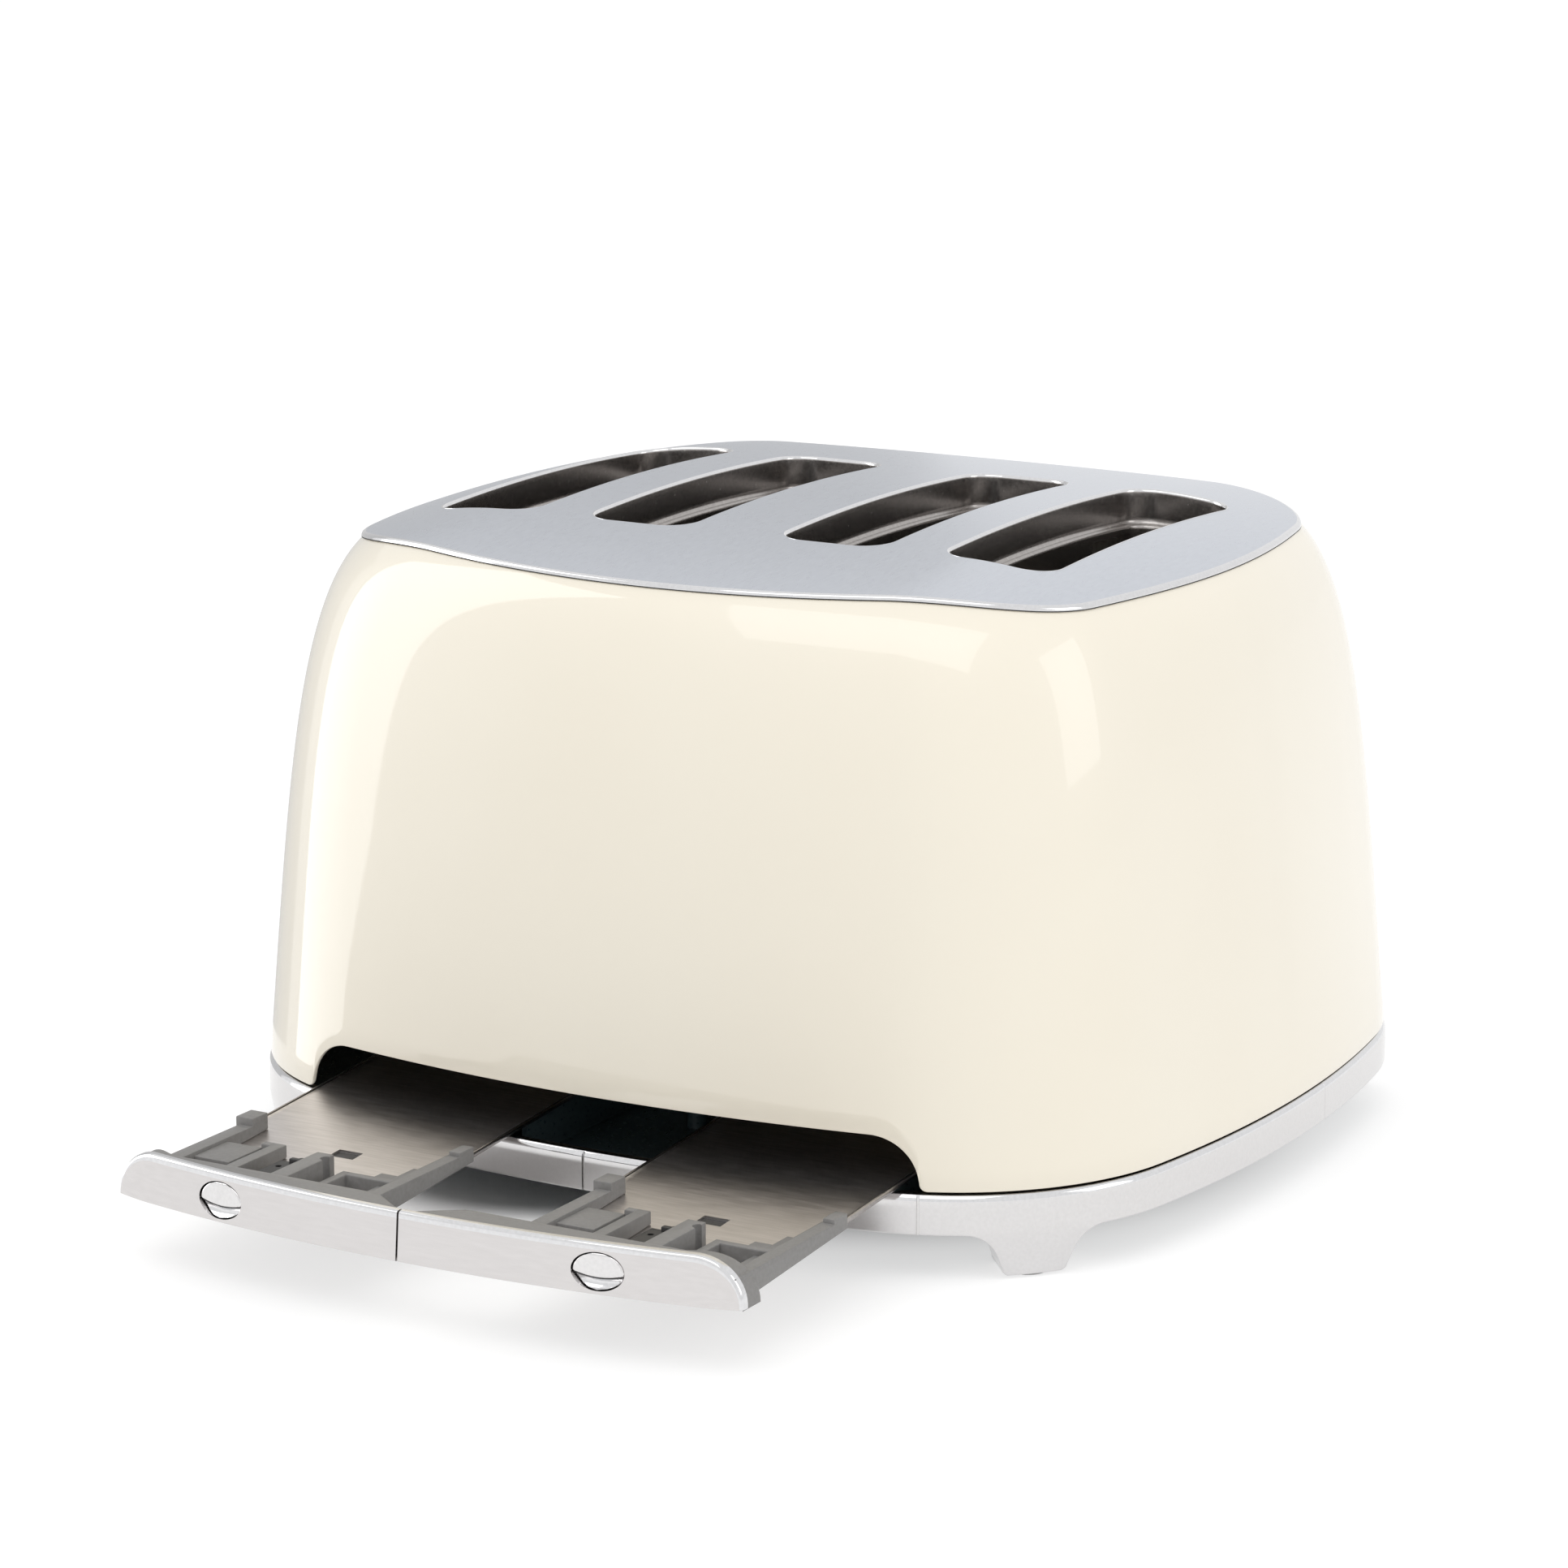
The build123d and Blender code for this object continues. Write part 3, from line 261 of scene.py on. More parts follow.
def crown_z(x, y):
    """Height of the crowned top."""
    reach = max(0.0, abs(x) - CROWN_FLAT)
    fall = CROWN_SIDE_RADIUS - math.sqrt(CROWN_SIDE_RADIUS**2 - reach**2)
    return BODY_TOP - CROWN_LONG_RADIUS + math.sqrt((CROWN_LONG_RADIUS - fall) ** 2 - y**2)


def rim_z(turn, drop, outset=0.0):
    """Height at which the body's wall meets the crown less a drop."""
    lowest = SHOULDER_Z - 60
    highest = SHOULDER_Z - 0.05

    def below(height):
        return height < crown_z(*plan_point(turn, height, outset)) - drop

    return halve(lowest, highest, below)


def slide_z(y):
    """Height of the sloping plane that the shut trays run on."""
    return SLIDE_Z + (SLIDE_Y - y) * math.tan(TRAY_SLOPE)


def spread(low, high, count):
    return [low + (high - low) * step / count for step in range(count + 1)]


def round_turns():
    """Turns around the plan, close together on the bowed sides."""
    quarter = spread(0, 10, 18)[:-1] + spread(10, 80, 40)[:-1] + spread(80, 90, 18)[:-1]
    return [math.radians(90 * number + degrees) for number in range(4) for degrees in quarter]


# Mesh helpers


def object_from(name, builder):
    """New object from a bmesh in metres, which is used up."""
    mesh = bpy.data.meshes.new(name)
    builder.to_mesh(mesh)
    builder.free()
    piece = bpy.data.objects.new(name, mesh)
    bpy.context.scene.collection.objects.link(piece)
    return piece


def piece_from(name, builder):
    """New object from a bmesh in millimetres, with its faces turned outwards."""
    bmesh.ops.remove_doubles(builder, verts=builder.verts, dist=WELD)
    bmesh.ops.recalc_face_normals(builder, faces=builder.faces)
    bmesh.ops.scale(builder, verts=builder.verts, vec=(MM, MM, MM))
    return object_from(name, builder)


def skin(builder, columns, wrap_columns=False, wrap_rows=False, ends=False, skip=None):
    """Quads between columns of points, which all have as many rows; returns the quads."""
    rows = [[builder.verts.new(point) for point in column] for column in columns]
    quads = []
    for column in range(len(rows) - (0 if wrap_columns else 1)):
        near = rows[column]
        far = rows[(column + 1) % len(rows)]
        for row in range(len(near) - (0 if wrap_rows else 1)):
            if skip and skip(column, row):
                continue
            after = (row + 1) % len(near)
            quads.append(builder.faces.new((near[row], far[row], far[after], near[after])))
    if ends:
        builder.faces.new(rows[0])
        builder.faces.new(rows[-1])
    return quads


def skinned(name, columns, **ways):
    """New object made of the quads between columns of points."""
    builder = bmesh.new()
    skin(builder, columns, **ways)
    return piece_from(name, builder)


def finish_mesh(piece, sharp=40.0):
    """Smooth shading with edges sharper than an angle left crisp."""
    builder = bmesh.new()
    builder.from_mesh(piece.data)
    for face in builder.faces:
        face.smooth = True
    for edge in builder.edges:
        edge.smooth = len(edge.link_faces) == 2 and edge.calc_face_angle(0) < math.radians(sharp)
    builder.to_mesh(piece.data)
    builder.free()
    return piece


def apply_modifiers(piece):
    """Replace a piece's mesh by what its modifiers make of it."""
    graph = bpy.context.evaluated_depsgraph_get()
    mesh = bpy.data.meshes.new_from_object(piece.evaluated_get(graph))
    piece.modifiers.clear()
    plain = piece.data
    piece.data = mesh
    bpy.data.meshes.remove(plain)
    return piece


def drop_piece(piece):
    mesh = piece.data
    bpy.data.objects.remove(piece)
    bpy.data.meshes.remove(mesh)


def combine(piece, other, way):
    """Cut one piece by another, or join them into one skin; the other is used up."""
    boolean = piece.modifiers.new(way, "BOOLEAN")
    boolean.operation = way
    boolean.solver = "EXACT"
    boolean.object = other
    apply_modifiers(piece)
    drop_piece(other)
    return piece


def soften(piece, width, segments=2, angle=30.0):
    bevel = piece.modifiers.new("rounded edges", "BEVEL")
    bevel.width = width * MM
    bevel.segments = segments
    bevel.limit_method = "ANGLE"
    bevel.angle_limit = math.radians(angle)
    bevel.harden_normals = False
    return apply_modifiers(piece)


def prism(builder, outline, low, high, place):
    """Closed prism on an outline, between two levels, set in space by a placing function."""
    foot = [builder.verts.new(place(a, b, low)) for a, b in outline]
    head = [builder.verts.new(place(a, b, high)) for a, b in outline]
    builder.faces.new(foot)
    builder.faces.new(head)
    for corner in range(len(outline)):
        after = (corner + 1) % len(outline)
        builder.faces.new((foot[corner], foot[after], head[after], head[corner]))


def prisms(name, outlines, low, high, place):
    """New object with a closed prism on each outline."""
    builder = bmesh.new()
    for outline in outlines:
        prism(builder, outline, low, high, place)
    return piece_from(name, builder)


def along_y(a, b, level):
    return Vector((a, level, b))


def along_z(a, b, level):
    return Vector((a, b, level))


def along_x(a, b, level):
    return Vector((level, a, b))


def ellipse(centre_a, centre_b, half_a, half_b, count=64):
    turns = [2 * math.pi * step / count for step in range(count)]
    return [(centre_a + half_a * math.cos(turn), centre_b + half_b * math.sin(turn)) for turn in turns]


def rounded_box(half_a, half_b, corner, arc=10, along_a=6, along_b=24):
    """Points and outward directions round a rectangle with round corners."""
    points = []
    for quarter in range(4):
        sign_a = 1 if quarter in (0, 3) else -1
        sign_b = 1 if quarter in (0, 1) else -1
        centre = Vector((sign_a * (half_a - corner), sign_b * (half_b - corner)))
        for step in range(arc + 1):
            turn = math.radians(90 * quarter + 90 * step / arc)
            way = Vector((math.cos(turn), math.sin(turn)))
            points.append((centre + corner * way, way))
        straight = along_a if quarter in (0, 2) else along_b
        last, way = points[-1]
        length = 2 * ((half_a if quarter in (0, 2) else half_b) - corner)
        ahead = Vector((-way.y, way.x))
        for step in range(1, straight):
            points.append((last + ahead * length * step / straight, way))
    return points


def turned(name, profile, x, z, segments, sharp=45.0, flute=None):
    """Round piece about an axis along Y, from a radius and a y for each row."""
    columns = []
    for step in range(segments):
        turn = 2 * math.pi * step / segments
        column = []
        for row, (radius, y) in enumerate(profile):
            size = radius - (flute(row, turn) if flute else 0.0)
            column.append(Vector((x + size * math.sin(turn), y, z + size * math.cos(turn))))
        columns.append(column)
    return finish_mesh(skinned(name, columns, wrap_columns=True), sharp)


def coat(piece, *finishes):
    for finish in finishes:
        piece.data.materials.append(FINISH[finish])


def set_piece(piece, body, finish, *nodes, slot=None):
    """Give a finished piece its main finish, its body and the nodes that it stands for; its slot is not
    used.
    """
    if piece.data.materials:
        piece.data.materials[0] = FINISH[finish]
    else:
        coat(piece, finish)
    slot = slot or finish
    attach(piece, body)
    if nodes:
        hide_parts(*nodes)


# Finishes

EVEN = (1, 1, 1)


def add_node(tree, kind, inputs=None, **settings):
    """New node; an input takes a value, an output to link, or a node for its first output."""
    node = tree.nodes.new(kind)
    for name, value in settings.items():
        setattr(node, name, value)
    for name, value in (inputs or {}).items():
        if isinstance(value, bpy.types.Node):
            value = value.outputs[0]
        if isinstance(value, bpy.types.NodeSocket):
            tree.links.new(value, node.inputs[name])
        else:
            node.inputs[name].default_value = value
    return node


def reckon(tree, operation, first, second):
    return add_node(tree, "ShaderNodeMath", {0: first, 1: second}, operation=operation)


def surface(name):
    material = bpy.data.materials.new(name)
    material.use_nodes = True
    shader = material.node_tree.nodes["Principled BSDF"]
    return material, material.node_tree, shader


def grain(tree, scale, stretch=EVEN, detail=3.0):
    """Noise on the piece's own coordinates, drawn out along the axes with a small stretch."""
    place = tree.nodes.new("ShaderNodeTexCoord").outputs["Object"]
    drawn = add_node(tree, "ShaderNodeMapping", {"Vector": place, "Scale": stretch})
    noise = add_node(tree, "ShaderNodeTexNoise", {"Vector": drawn, "Scale": scale, "Detail": detail})
    return noise.outputs["Fac"]


def tint(tree, shader, source, dark, light):
    ramp = add_node(tree, "ShaderNodeValToRGB", {"Fac": source})
    for stop, colour, position in zip(ramp.color_ramp.elements, (dark, light), (0.3, 0.7)):
        stop.color = (*colour, 1)
        stop.position = position
    tree.links.new(ramp.outputs["Color"], shader.inputs["Base Color"])


def roughen(tree, shader, source, low, high):
    rough = add_node(tree, "ShaderNodeMapRange", {"Value": source, "To Min": low, "To Max": high})
    tree.links.new(rough.outputs["Result"], shader.inputs["Roughness"])


def bump(tree, shader, source, strength, depth):
    sizes = {"Height": source, "Strength": strength, "Distance": depth * MM}
    relief = add_node(tree, "ShaderNodeBump", sizes)
    tree.links.new(relief.outputs["Normal"], shader.inputs["Normal"])


def cream_enamel():
    """Gloss enamel: faint clouding of the cream and a fine orange peel under a clear coat."""
    material, tree, shader = surface("cream_enamel")
    cloud = grain(tree, 9.0, detail=2.0)
    tint(tree, shader, cloud, (0.85, 0.79, 0.665), (0.87, 0.815, 0.695))
    peel = grain(tree, 420.0, detail=1.0)
    roughen(tree, shader, peel, 0.34, 0.4)
    bump(tree, shader, peel, 0.04, 0.05)
    shader.inputs["Coat Weight"].default_value = 1.0
    shader.inputs["Coat Roughness"].default_value = 0.04
    return material


def metal(name, dark, light, rough, brush=EVEN, relief=0.03):
    """Bare metal with a brushed or fine satin grain."""
    material, tree, shader = surface(name)
    shader.inputs["Metallic"].default_value = 1.0
    scratch = grain(tree, 900.0, brush, detail=4.0)
    tint(tree, shader, scratch, dark, light)
    roughen(tree, shader, scratch, *rough)
    bump(tree, shader, scratch, relief, 0.02)
    return material


def plastic(name, dark, light, rough, texture=700.0, relief=0.12):
    """Moulded plastic or rubber with a fine spark-eroded texture."""
    material, tree, shader = surface(name)
    speckle = grain(tree, texture, detail=3.0)
    tint(tree, shader, speckle, dark, light)
    roughen(tree, shader, speckle, *rough)
    bump(tree, shader, speckle, relief, 0.05)
    return material


def mica_sheet():
    """Heater card: flaky brown mica, darker where flakes overlap."""
    material, tree, shader = surface("mica")
    flakes = grain(tree, 60.0, (1, 1, 0.4), detail=6.0)
    tint(tree, shader, flakes, (0.20, 0.15, 0.09), (0.42, 0.34, 0.22))
    roughen(tree, shader, flakes, 0.35, 0.6)
    bump(tree, shader, flakes, 0.2, 0.1)
    return material


def clear_of(tree, place, centre, half, edge):
    """Nought on an oval of the floor, one well outside it."""
    oval = {
        "Vector": place,
        "Location": (centre[0] * MM, centre[1] * MM, 0),
        "Scale": (half[0] * MM, half[1] * MM, 1),
    }
    footprint = add_node(tree, "ShaderNodeMapping", oval, vector_type="TEXTURE")
    reach = add_node(tree, "ShaderNodeVectorMath", {0: footprint}, operation="LENGTH").outputs["Value"]
    fade = {"Value": reach, "From Min": edge[0], "From Max": edge[1]}
    return add_node(tree, "ShaderNodeMapRange", fade, interpolation_type="SMOOTHSTEP")


def seen_rays(tree):
    """One for camera, mirror and see-through rays, nought for the rest."""
    path = tree.nodes.new("ShaderNodeLightPath")
    seen = reckon(tree, "MAXIMUM", path.outputs["Is Camera Ray"], path.outputs["Is Glossy Ray"])
    return reckon(tree, "MAXIMUM", seen, path.outputs["Is Transmission Ray"])


def mirror_rays(tree):
    return tree.nodes.new("ShaderNodeLightPath").outputs["Is Glossy Ray"]


def mix_glow(tree, share, plain, level):
    """Surface that turns from a plain shader to a white glow by a share."""
    glow = add_node(tree, "ShaderNodeEmission", {"Strength": level})
    mix = add_node(tree, "ShaderNodeMixShader", {"Fac": share, 1: plain, 2: glow})
    tree.links.new(mix.outputs["Shader"], tree.nodes["Material Output"].inputs["Surface"])


def floor_white():
    """White floor: the full shadow under the body and the trays, a soft one round them, else white."""
    glow_level = 1.35
    glow_share = 0.45
    material, tree, shader = surface("floor_white")
    fine = grain(tree, 40.0)
    tint(tree, shader, fine, (0.88, 0.88, 0.88), (0.9, 0.9, 0.9))
    shader.inputs["Roughness"].default_value = 0.9
    shader.inputs["Specular IOR Level"].default_value = 0.0
    place = tree.nodes.new("ShaderNodeTexCoord").outputs["Object"]
    clear_of_body = clear_of(tree, place, (0, 0), (HALF_WIDTH, HALF_DEPTH), (0.6, 0.98))
    clear_of_gap = clear_of(tree, place, GAP_SHADOW, GAP_SHADOW_HALF, (0.5, 1.0))
    clear_of_trays = clear_of(tree, place, TRAY_SHADOW, TRAY_SHADOW_HALF, (0.75, 1.0))
    ways = {"Factor": mirror_rays(tree), "A": 1.0, "B": clear_of_trays}
    mirrored = add_node(tree, "ShaderNodeMix", ways)
    clear = reckon(tree, "MULTIPLY", clear_of_body, clear_of_gap)
    clear = reckon(tree, "MULTIPLY", clear, mirrored)
    faint = reckon(tree, "MULTIPLY", clear, glow_share)
    mix_glow(tree, reckon(tree, "MULTIPLY", seen_rays(tree), faint), shader, glow_level)
    return material


def card_glow(name, level):
    """Card that shows only in reflections, and lets every other ray through."""
    material, tree, shader = surface(name)
    tree.nodes.remove(shader)
    mix_glow(tree, mirror_rays(tree), tree.nodes.new("ShaderNodeBsdfTransparent"), level)
    return material


METALS = {
    "satin_steel": ((0.56, 0.585, 0.635), (0.6, 0.625, 0.675), (0.24, 0.34), (1, 0.25, 1)),
    "polished_steel": ((0.66, 0.66, 0.67), (0.72, 0.72, 0.73), (0.06, 0.12), EVEN, 0.01),
    # dark steel: on the slot liners' walls its darkness is painted shade of the slots' dark inside; the
    # pan's rolled edges take it too
    "liner_steel": ((0.34, 0.32, 0.31), (0.42, 0.4, 0.385), (0.2, 0.3)),
    "ring_chrome": ((0.665, 0.655, 0.655), (0.695, 0.685, 0.685), (0.13, 0.18), EVEN, 0.015),
    "fascia_steel": ((0.635, 0.615, 0.61), (0.665, 0.645, 0.64), (0.17, 0.22), (0.1, 1, 1)),
    "pan_steel": ((0.56, 0.53, 0.515), (0.68, 0.645, 0.63), (0.26, 0.4), (0.1, 1, 1), 0.06),
    "push_chrome": ((0.7, 0.69, 0.69), (0.75, 0.74, 0.74), (0.08, 0.14), EVEN, 0.01),
    "knob_chrome": ((0.66, 0.66, 0.67), (0.72, 0.72, 0.73), (0.07, 0.13), EVEN, 0.01),
    "sheet_steel": ((0.3, 0.3, 0.3), (0.42, 0.42, 0.42), (0.3, 0.5), (1, 1, 0.2)),
}
PLASTICS = {
    "grey_plastic": ((0.2, 0.195, 0.19), (0.235, 0.23, 0.225), (0.42, 0.56)),
    "black_plastic": ((0.018, 0.018, 0.018), (0.035, 0.034, 0.033), (0.4, 0.55)),
    "base_teal": ((0.05, 0.075, 0.084), (0.065, 0.094, 0.104), (0.24, 0.34)),
    "pad_rubber": ((0.5, 0.5, 0.5), (0.58, 0.58, 0.57), (0.7, 0.85)),
    "rubber": ((0.02, 0.02, 0.02), (0.04, 0.04, 0.04), (0.7, 0.85)),
    "board": ((0.03, 0.12, 0.05), (0.05, 0.17, 0.08), (0.35, 0.5), 300.0),
}
FINISH = {
    "cream_enamel": cream_enamel(),
    "mica": mica_sheet(),
    **{name: metal(name, *look) for name, look in METALS.items()},
    **{name: plastic(name, *look) for name, look in PLASTICS.items()},
}


# Shell, plate and slot liners


def arch_edge():
    """Turn and height of the shell's lower edge round the arch in the rear, from +X to -X."""
    half = []
    for degrees in spread(270, 180, 7):
        turn = math.radians(degrees)
        x = ARCH_HALF + ARCH_FOOT + ARCH_FOOT * math.cos(turn)
        half.append((x, SEAM_Z + ARCH_FOOT * (1 + math.sin(turn))))
    centre_z = ARCH_TOP - ARCH_ROUND
    start = math.degrees(math.asin((SEAM_Z + ARCH_FOOT - centre_z) / ARCH_ROUND))
    for degrees in spread(start, 90, 16)[1:]:
        turn = math.radians(degrees)
        x = ARCH_HALF - ARCH_ROUND * (1 - math.cos(turn))
        half.append((x, centre_z + ARCH_ROUND * math.sin(turn)))
    straight = [(x, ARCH_TOP) for x in spread(half[-1][0], -half[-1][0], 60)[1:-1]]
    edge = half + straight + [(-x, z) for x, z in reversed(half)]
    return [(rear_turn(x, z), z) for x, z in edge]


def shell_columns():
    """Turn and lower edge of each column of the shell, round the plan."""
    arch = arch_edge()
    first = arch[0][0]
    last = arch[-1][0]
    gap = math.radians(0.25)
    plain = [(turn, SEAM_Z) for turn in round_turns() if not first - gap < turn < last + gap]
    return sorted(plain + arch)


def lever_slot(middle):
    """Outline of the upright slot that a lever moves in."""
    low, high = LEVER_SLOT_Z
    outline = []
    for centre, start in ((high - LEVER_SLOT_HALF, 0), (low + LEVER_SLOT_HALF, 180)):
        for degrees in spread(start, start + 180, 12):
            turn = math.radians(degrees)
            x = middle + LEVER_SLOT_HALF * math.cos(turn)
            outline.append((x, centre + LEVER_SLOT_HALF * math.sin(turn)))
    return outline


def make_shell():
    """Deep-drawn wall with a rolled hem, an arch behind, and slots and holes in front."""
    hem_rise = 0.6
    hem = ((-WALL, hem_rise), (-1.05, 0.16), (-0.6, 0.0), (-0.15, 0.16))
    crowding = 1.7

    def climb(low, top, share):
        """Height on the wall, in steps that grow smaller towards the shoulder."""
        return low + hem_rise + (top - low - hem_rise) * (1 - (1 - share) ** crowding)

    columns = []
    for turn, low in shell_columns():
        top = rim_z(turn, PLATE)
        column = [(-WALL, climb(low, top, share)) for share in spread(1, 0, 12)[:-1]]
        column += [(outset, low + rise) for outset, rise in hem]
        column += [(0.0, climb(low, top, share)) for share in spread(0, 1, 48)]
        columns.append([(*plan_point(turn, height, outset), height) for outset, height in column])
    shell = skinned("shell", columns, wrap_columns=True, wrap_rows=True)
    radius = BUTTON_RADIUS + BUTTON_GAP
    outlines = []
    for side in SIDES.values():
        outlines.append(lever_slot(side * PAIR_X))
        for angle in BUTTON_ANGLES.values():
            outlines.append(ellipse(*button_spot(side, angle), radius, radius, 40))
    holes = prisms("shell_holes", outlines, -2 * HALF_DEPTH, -HALF_DEPTH / 2, along_y)
    combine(shell, holes, "DIFFERENCE")
    finish_mesh(shell, 50)
    set_piece(shell, "body", "cream_enamel", "body_shell")


def make_plate():
    """Crowned satin plate with a polished bead round its rim, a black line at the bead's foot as painted
    shadow of the seam, and the slots cut out.
    """
    bead = ((0, -1.6), (0, -1.25), (0, -0.95), (0.1, -0.55), (0.36, -0.22), (0.75, -0.04), (1.2, 0))
    seam_shadow_rows = 1
    field_start = 1.5
    field_rows = 26
    spine = 0.42
    columns = []
    for turn in round_turns():
        height = rim_z(turn, PLATE, PLATE_PROUD)
        edge = plan_point(turn, height, PLATE_PROUD)
        way = Vector((math.cos(turn), math.sin(turn)))
        column = []
        for inset, rise in bead:
            x, y = edge - way * inset
            column.append((x, y, crown_z(x, y) + rise))
        start = edge - way * field_start
        end = Vector((edge.x * spine, 0))
        for share in spread(0, 1, field_rows):
            x, y = start.lerp(end, share)
            column.append((x, y, crown_z(x, y)))
        for point in (end, start):
            column.append((*point, crown_z(*point) - PLATE))
        columns.append(column)
    rows = len(columns[0])
    spine_row = rows - 3
    builder = bmesh.new()
    faces = skin(builder, columns, wrap_columns=True, wrap_rows=True, skip=lambda _, row: row == spine_row)
    kept = [row for row in range(rows) if row != spine_row]
    for number, face in enumerate(faces):
        row = kept[number % len(kept)]
        # the bead's lowest row takes black rubber, a painted shadow line along the seam under the plate
        if row < seam_shadow_rows:
            face.material_index = 2
        elif row < len(bead) or row == rows - 1:
            face.material_index = 1
    plate = piece_from("plate", builder)
    coat(plate, "satin_steel", "polished_steel", "rubber")
    edge = rounded_box(SLOT_HALF_WIDTH, SLOT_HALF_LENGTH, SLOT_CORNER)
    outlines = []
    for slot_x in SLOT_XS:
        outlines.append([(slot_x + point.x + way.x * LIP, point.y + way.y * LIP) for point, way in edge])
    slots = prisms("plate_slots", outlines, LINER_Z - 10, BODY_TOP + 10, along_z)
    combine(plate, slots, "DIFFERENCE")
    finish_mesh(plate, 35)
    set_piece(plate, "body", "satin_steel", "top_plate")


LIP_ROWS = ((1.02, 0.01), (0.8, 0.04), (0.45, 0.18), (0.18, 0.48), (0.04, 0.85), (0, 1.3), (0, 2.7))
WALL_ROWS = ((0, 5.5), (0, 6.2), (0, 9.6), (0, 10.6))
LEDGE_ROWS = ((-0.25, 11.4), (-0.9, 11.9), (-1.6, 12.1), (-2.0, 12.6))
SKIRT_ROWS = ((-2.0, 13.4), (-2.0, 15.2))


def make_liner(number, slot_x):
    """Slot liner: a rolled lip, a wall with a ledge, and a skirt with cut-outs."""
    outline = rounded_box(SLOT_HALF_WIDTH, SLOT_HALF_LENGTH, SLOT_CORNER)
    rows = LIP_ROWS + WALL_ROWS + LEDGE_ROWS + SKIRT_ROWS
    columns = []
    for point, way in outline:
        top = crown_z(slot_x + point.x, point.y)
        column = [(slot_x + point.x + way.x * out, point.y + way.y * out, top - down) for out, down in rows]
        low_x, low_y, _ = column[-1]
        column += [(low_x, low_y, LINER_Z + 2.5), (low_x, low_y, LINER_Z)]
        columns.append(column)
    window_row = len(rows) - 1

    def window(column, row):
        point, way = outline[column]
        on_side = abs(way.x) >= 0.9
        return row == window_row and on_side and any(low < point.y < high for low, high in LINER_WINDOWS)

    liner = skinned(f"liner_{number}", columns, wrap_columns=True, skip=window)
    coat(liner, "liner_steel", "polished_steel")
    # the lip takes polished steel; the walls below take the dark steel, painted shade of the slot's dark
    # inside
    for face in liner.data.polygons:
        x, y, z = face.center / MM
        face.material_index = 1 if crown_z(x, y) - z < LIP else 0
    thick = liner.modifiers.new("sheet", "SOLIDIFY")
    thick.thickness = LINER_SHEET * MM
    thick.offset = -1.0
    apply_modifiers(liner)
    finish_mesh(liner, 45)
    set_piece(liner, "body", "liner_steel", f"slot_liner_{number}")


# Base ring with its feet


def foot_low(across):
    """Height of the ring's lower edge at a distance from the middle of a foot."""
    across = abs(across)
    if across >= FOOT_TOP_HALF:
        return RING_Z
    if across >= FOOT_NECK_HALF:
        reach = FOOT_TOP_HALF - FOOT_NECK_HALF
        fall = RING_Z - FOOT_NECK_Z
        radius = (reach**2 + fall**2) / (2 * fall)
        return RING_Z - radius + math.sqrt(radius**2 - (FOOT_TOP_HALF - across) ** 2)
    if across >= FOOT_TOE_HALF:
        share = (across - FOOT_TOE_HALF) / (FOOT_NECK_HALF - FOOT_TOE_HALF)
        return FOOT_TOE_Z + share * (FOOT_NECK_Z - FOOT_TOE_Z)
    if across >= FOOT_SOLE_HALF:
        share = (across - FOOT_SOLE_HALF) / (FOOT_TOE_HALF - FOOT_SOLE_HALF)
        return FOOT_Z + (FOOT_TOE_Z - FOOT_Z) * (1 - math.sqrt(1 - share**2))
    return FOOT_Z


def foot_turn(quarter):
    """Turn of the middle of a foot, a little to the side of its corner's middle."""
    shift = math.asin(FOOT_SHIFT / (CORNER_LOW + RING_PROUD))
    return math.radians(45 + 90 * quarter) + (shift if quarter % 2 else -shift)


def ring_joints():
    """Turns of the upright joints between the ring's castings."""
    rear = [rear_turn(x, SEAM_Z, RING_PROUD) for x in (ARCH_HALF, 0.0, -ARCH_HALF)]
    side = halve(math.pi, 1.4 * math.pi, lambda turn: plan_point(turn, SEAM_Z, RING_PROUD).y > RING_JOINT_Y)
    return rear + [side, 3 * math.pi - side]


def ring_columns():
    """Turns round the ring, with the distance from a foot's middle and the depth of a joint's groove."""
    radius = CORNER_LOW + RING_PROUD
    foot_half = math.asin(FOOT_TOP_HALF / radius)
    flare = 1.6
    groove_room = 0.004
    foot_room = 0.01
    small = 0.01
    columns = []
    marks = spread(0, FOOT_SOLE_HALF, 4)[:-1] + spread(FOOT_SOLE_HALF, FOOT_TOE_HALF, 6)[:-1]
    marks += spread(FOOT_TOE_HALF, FOOT_NECK_HALF, 4)[:-1] + spread(FOOT_NECK_HALF, FOOT_TOP_HALF, 20)
    for quarter in range(4):
        for across in sorted({sign * mark for mark in marks for sign in (-1, 1)}):
            columns.append((foot_turn(quarter) + math.asin(across / radius), across, 0.0))
    grooves = []
    for turn in ring_joints():
        start = plan_point(turn, SEAM_Z)
        step = 0.5 * RING_JOINT / ((plan_point(turn + small, SEAM_Z) - start).length / small)
        grooves += [(turn - flare * step, 0.0), (turn - step, RING_JOINT_DEPTH)]
        grooves += [(turn + step, RING_JOINT_DEPTH), (turn + flare * step, 0.0)]
    clear = [turn for turn in round_turns() if all(abs(turn - spot) > groove_room for spot, _ in grooves)]
    for turn, depth in [(turn, 0.0) for turn in clear] + grooves:
        if all(abs(turn - foot_turn(quarter)) > foot_half + foot_room for quarter in range(4)):
            columns.append((turn, FOOT_TOP_HALF, depth))
    return sorted(columns)


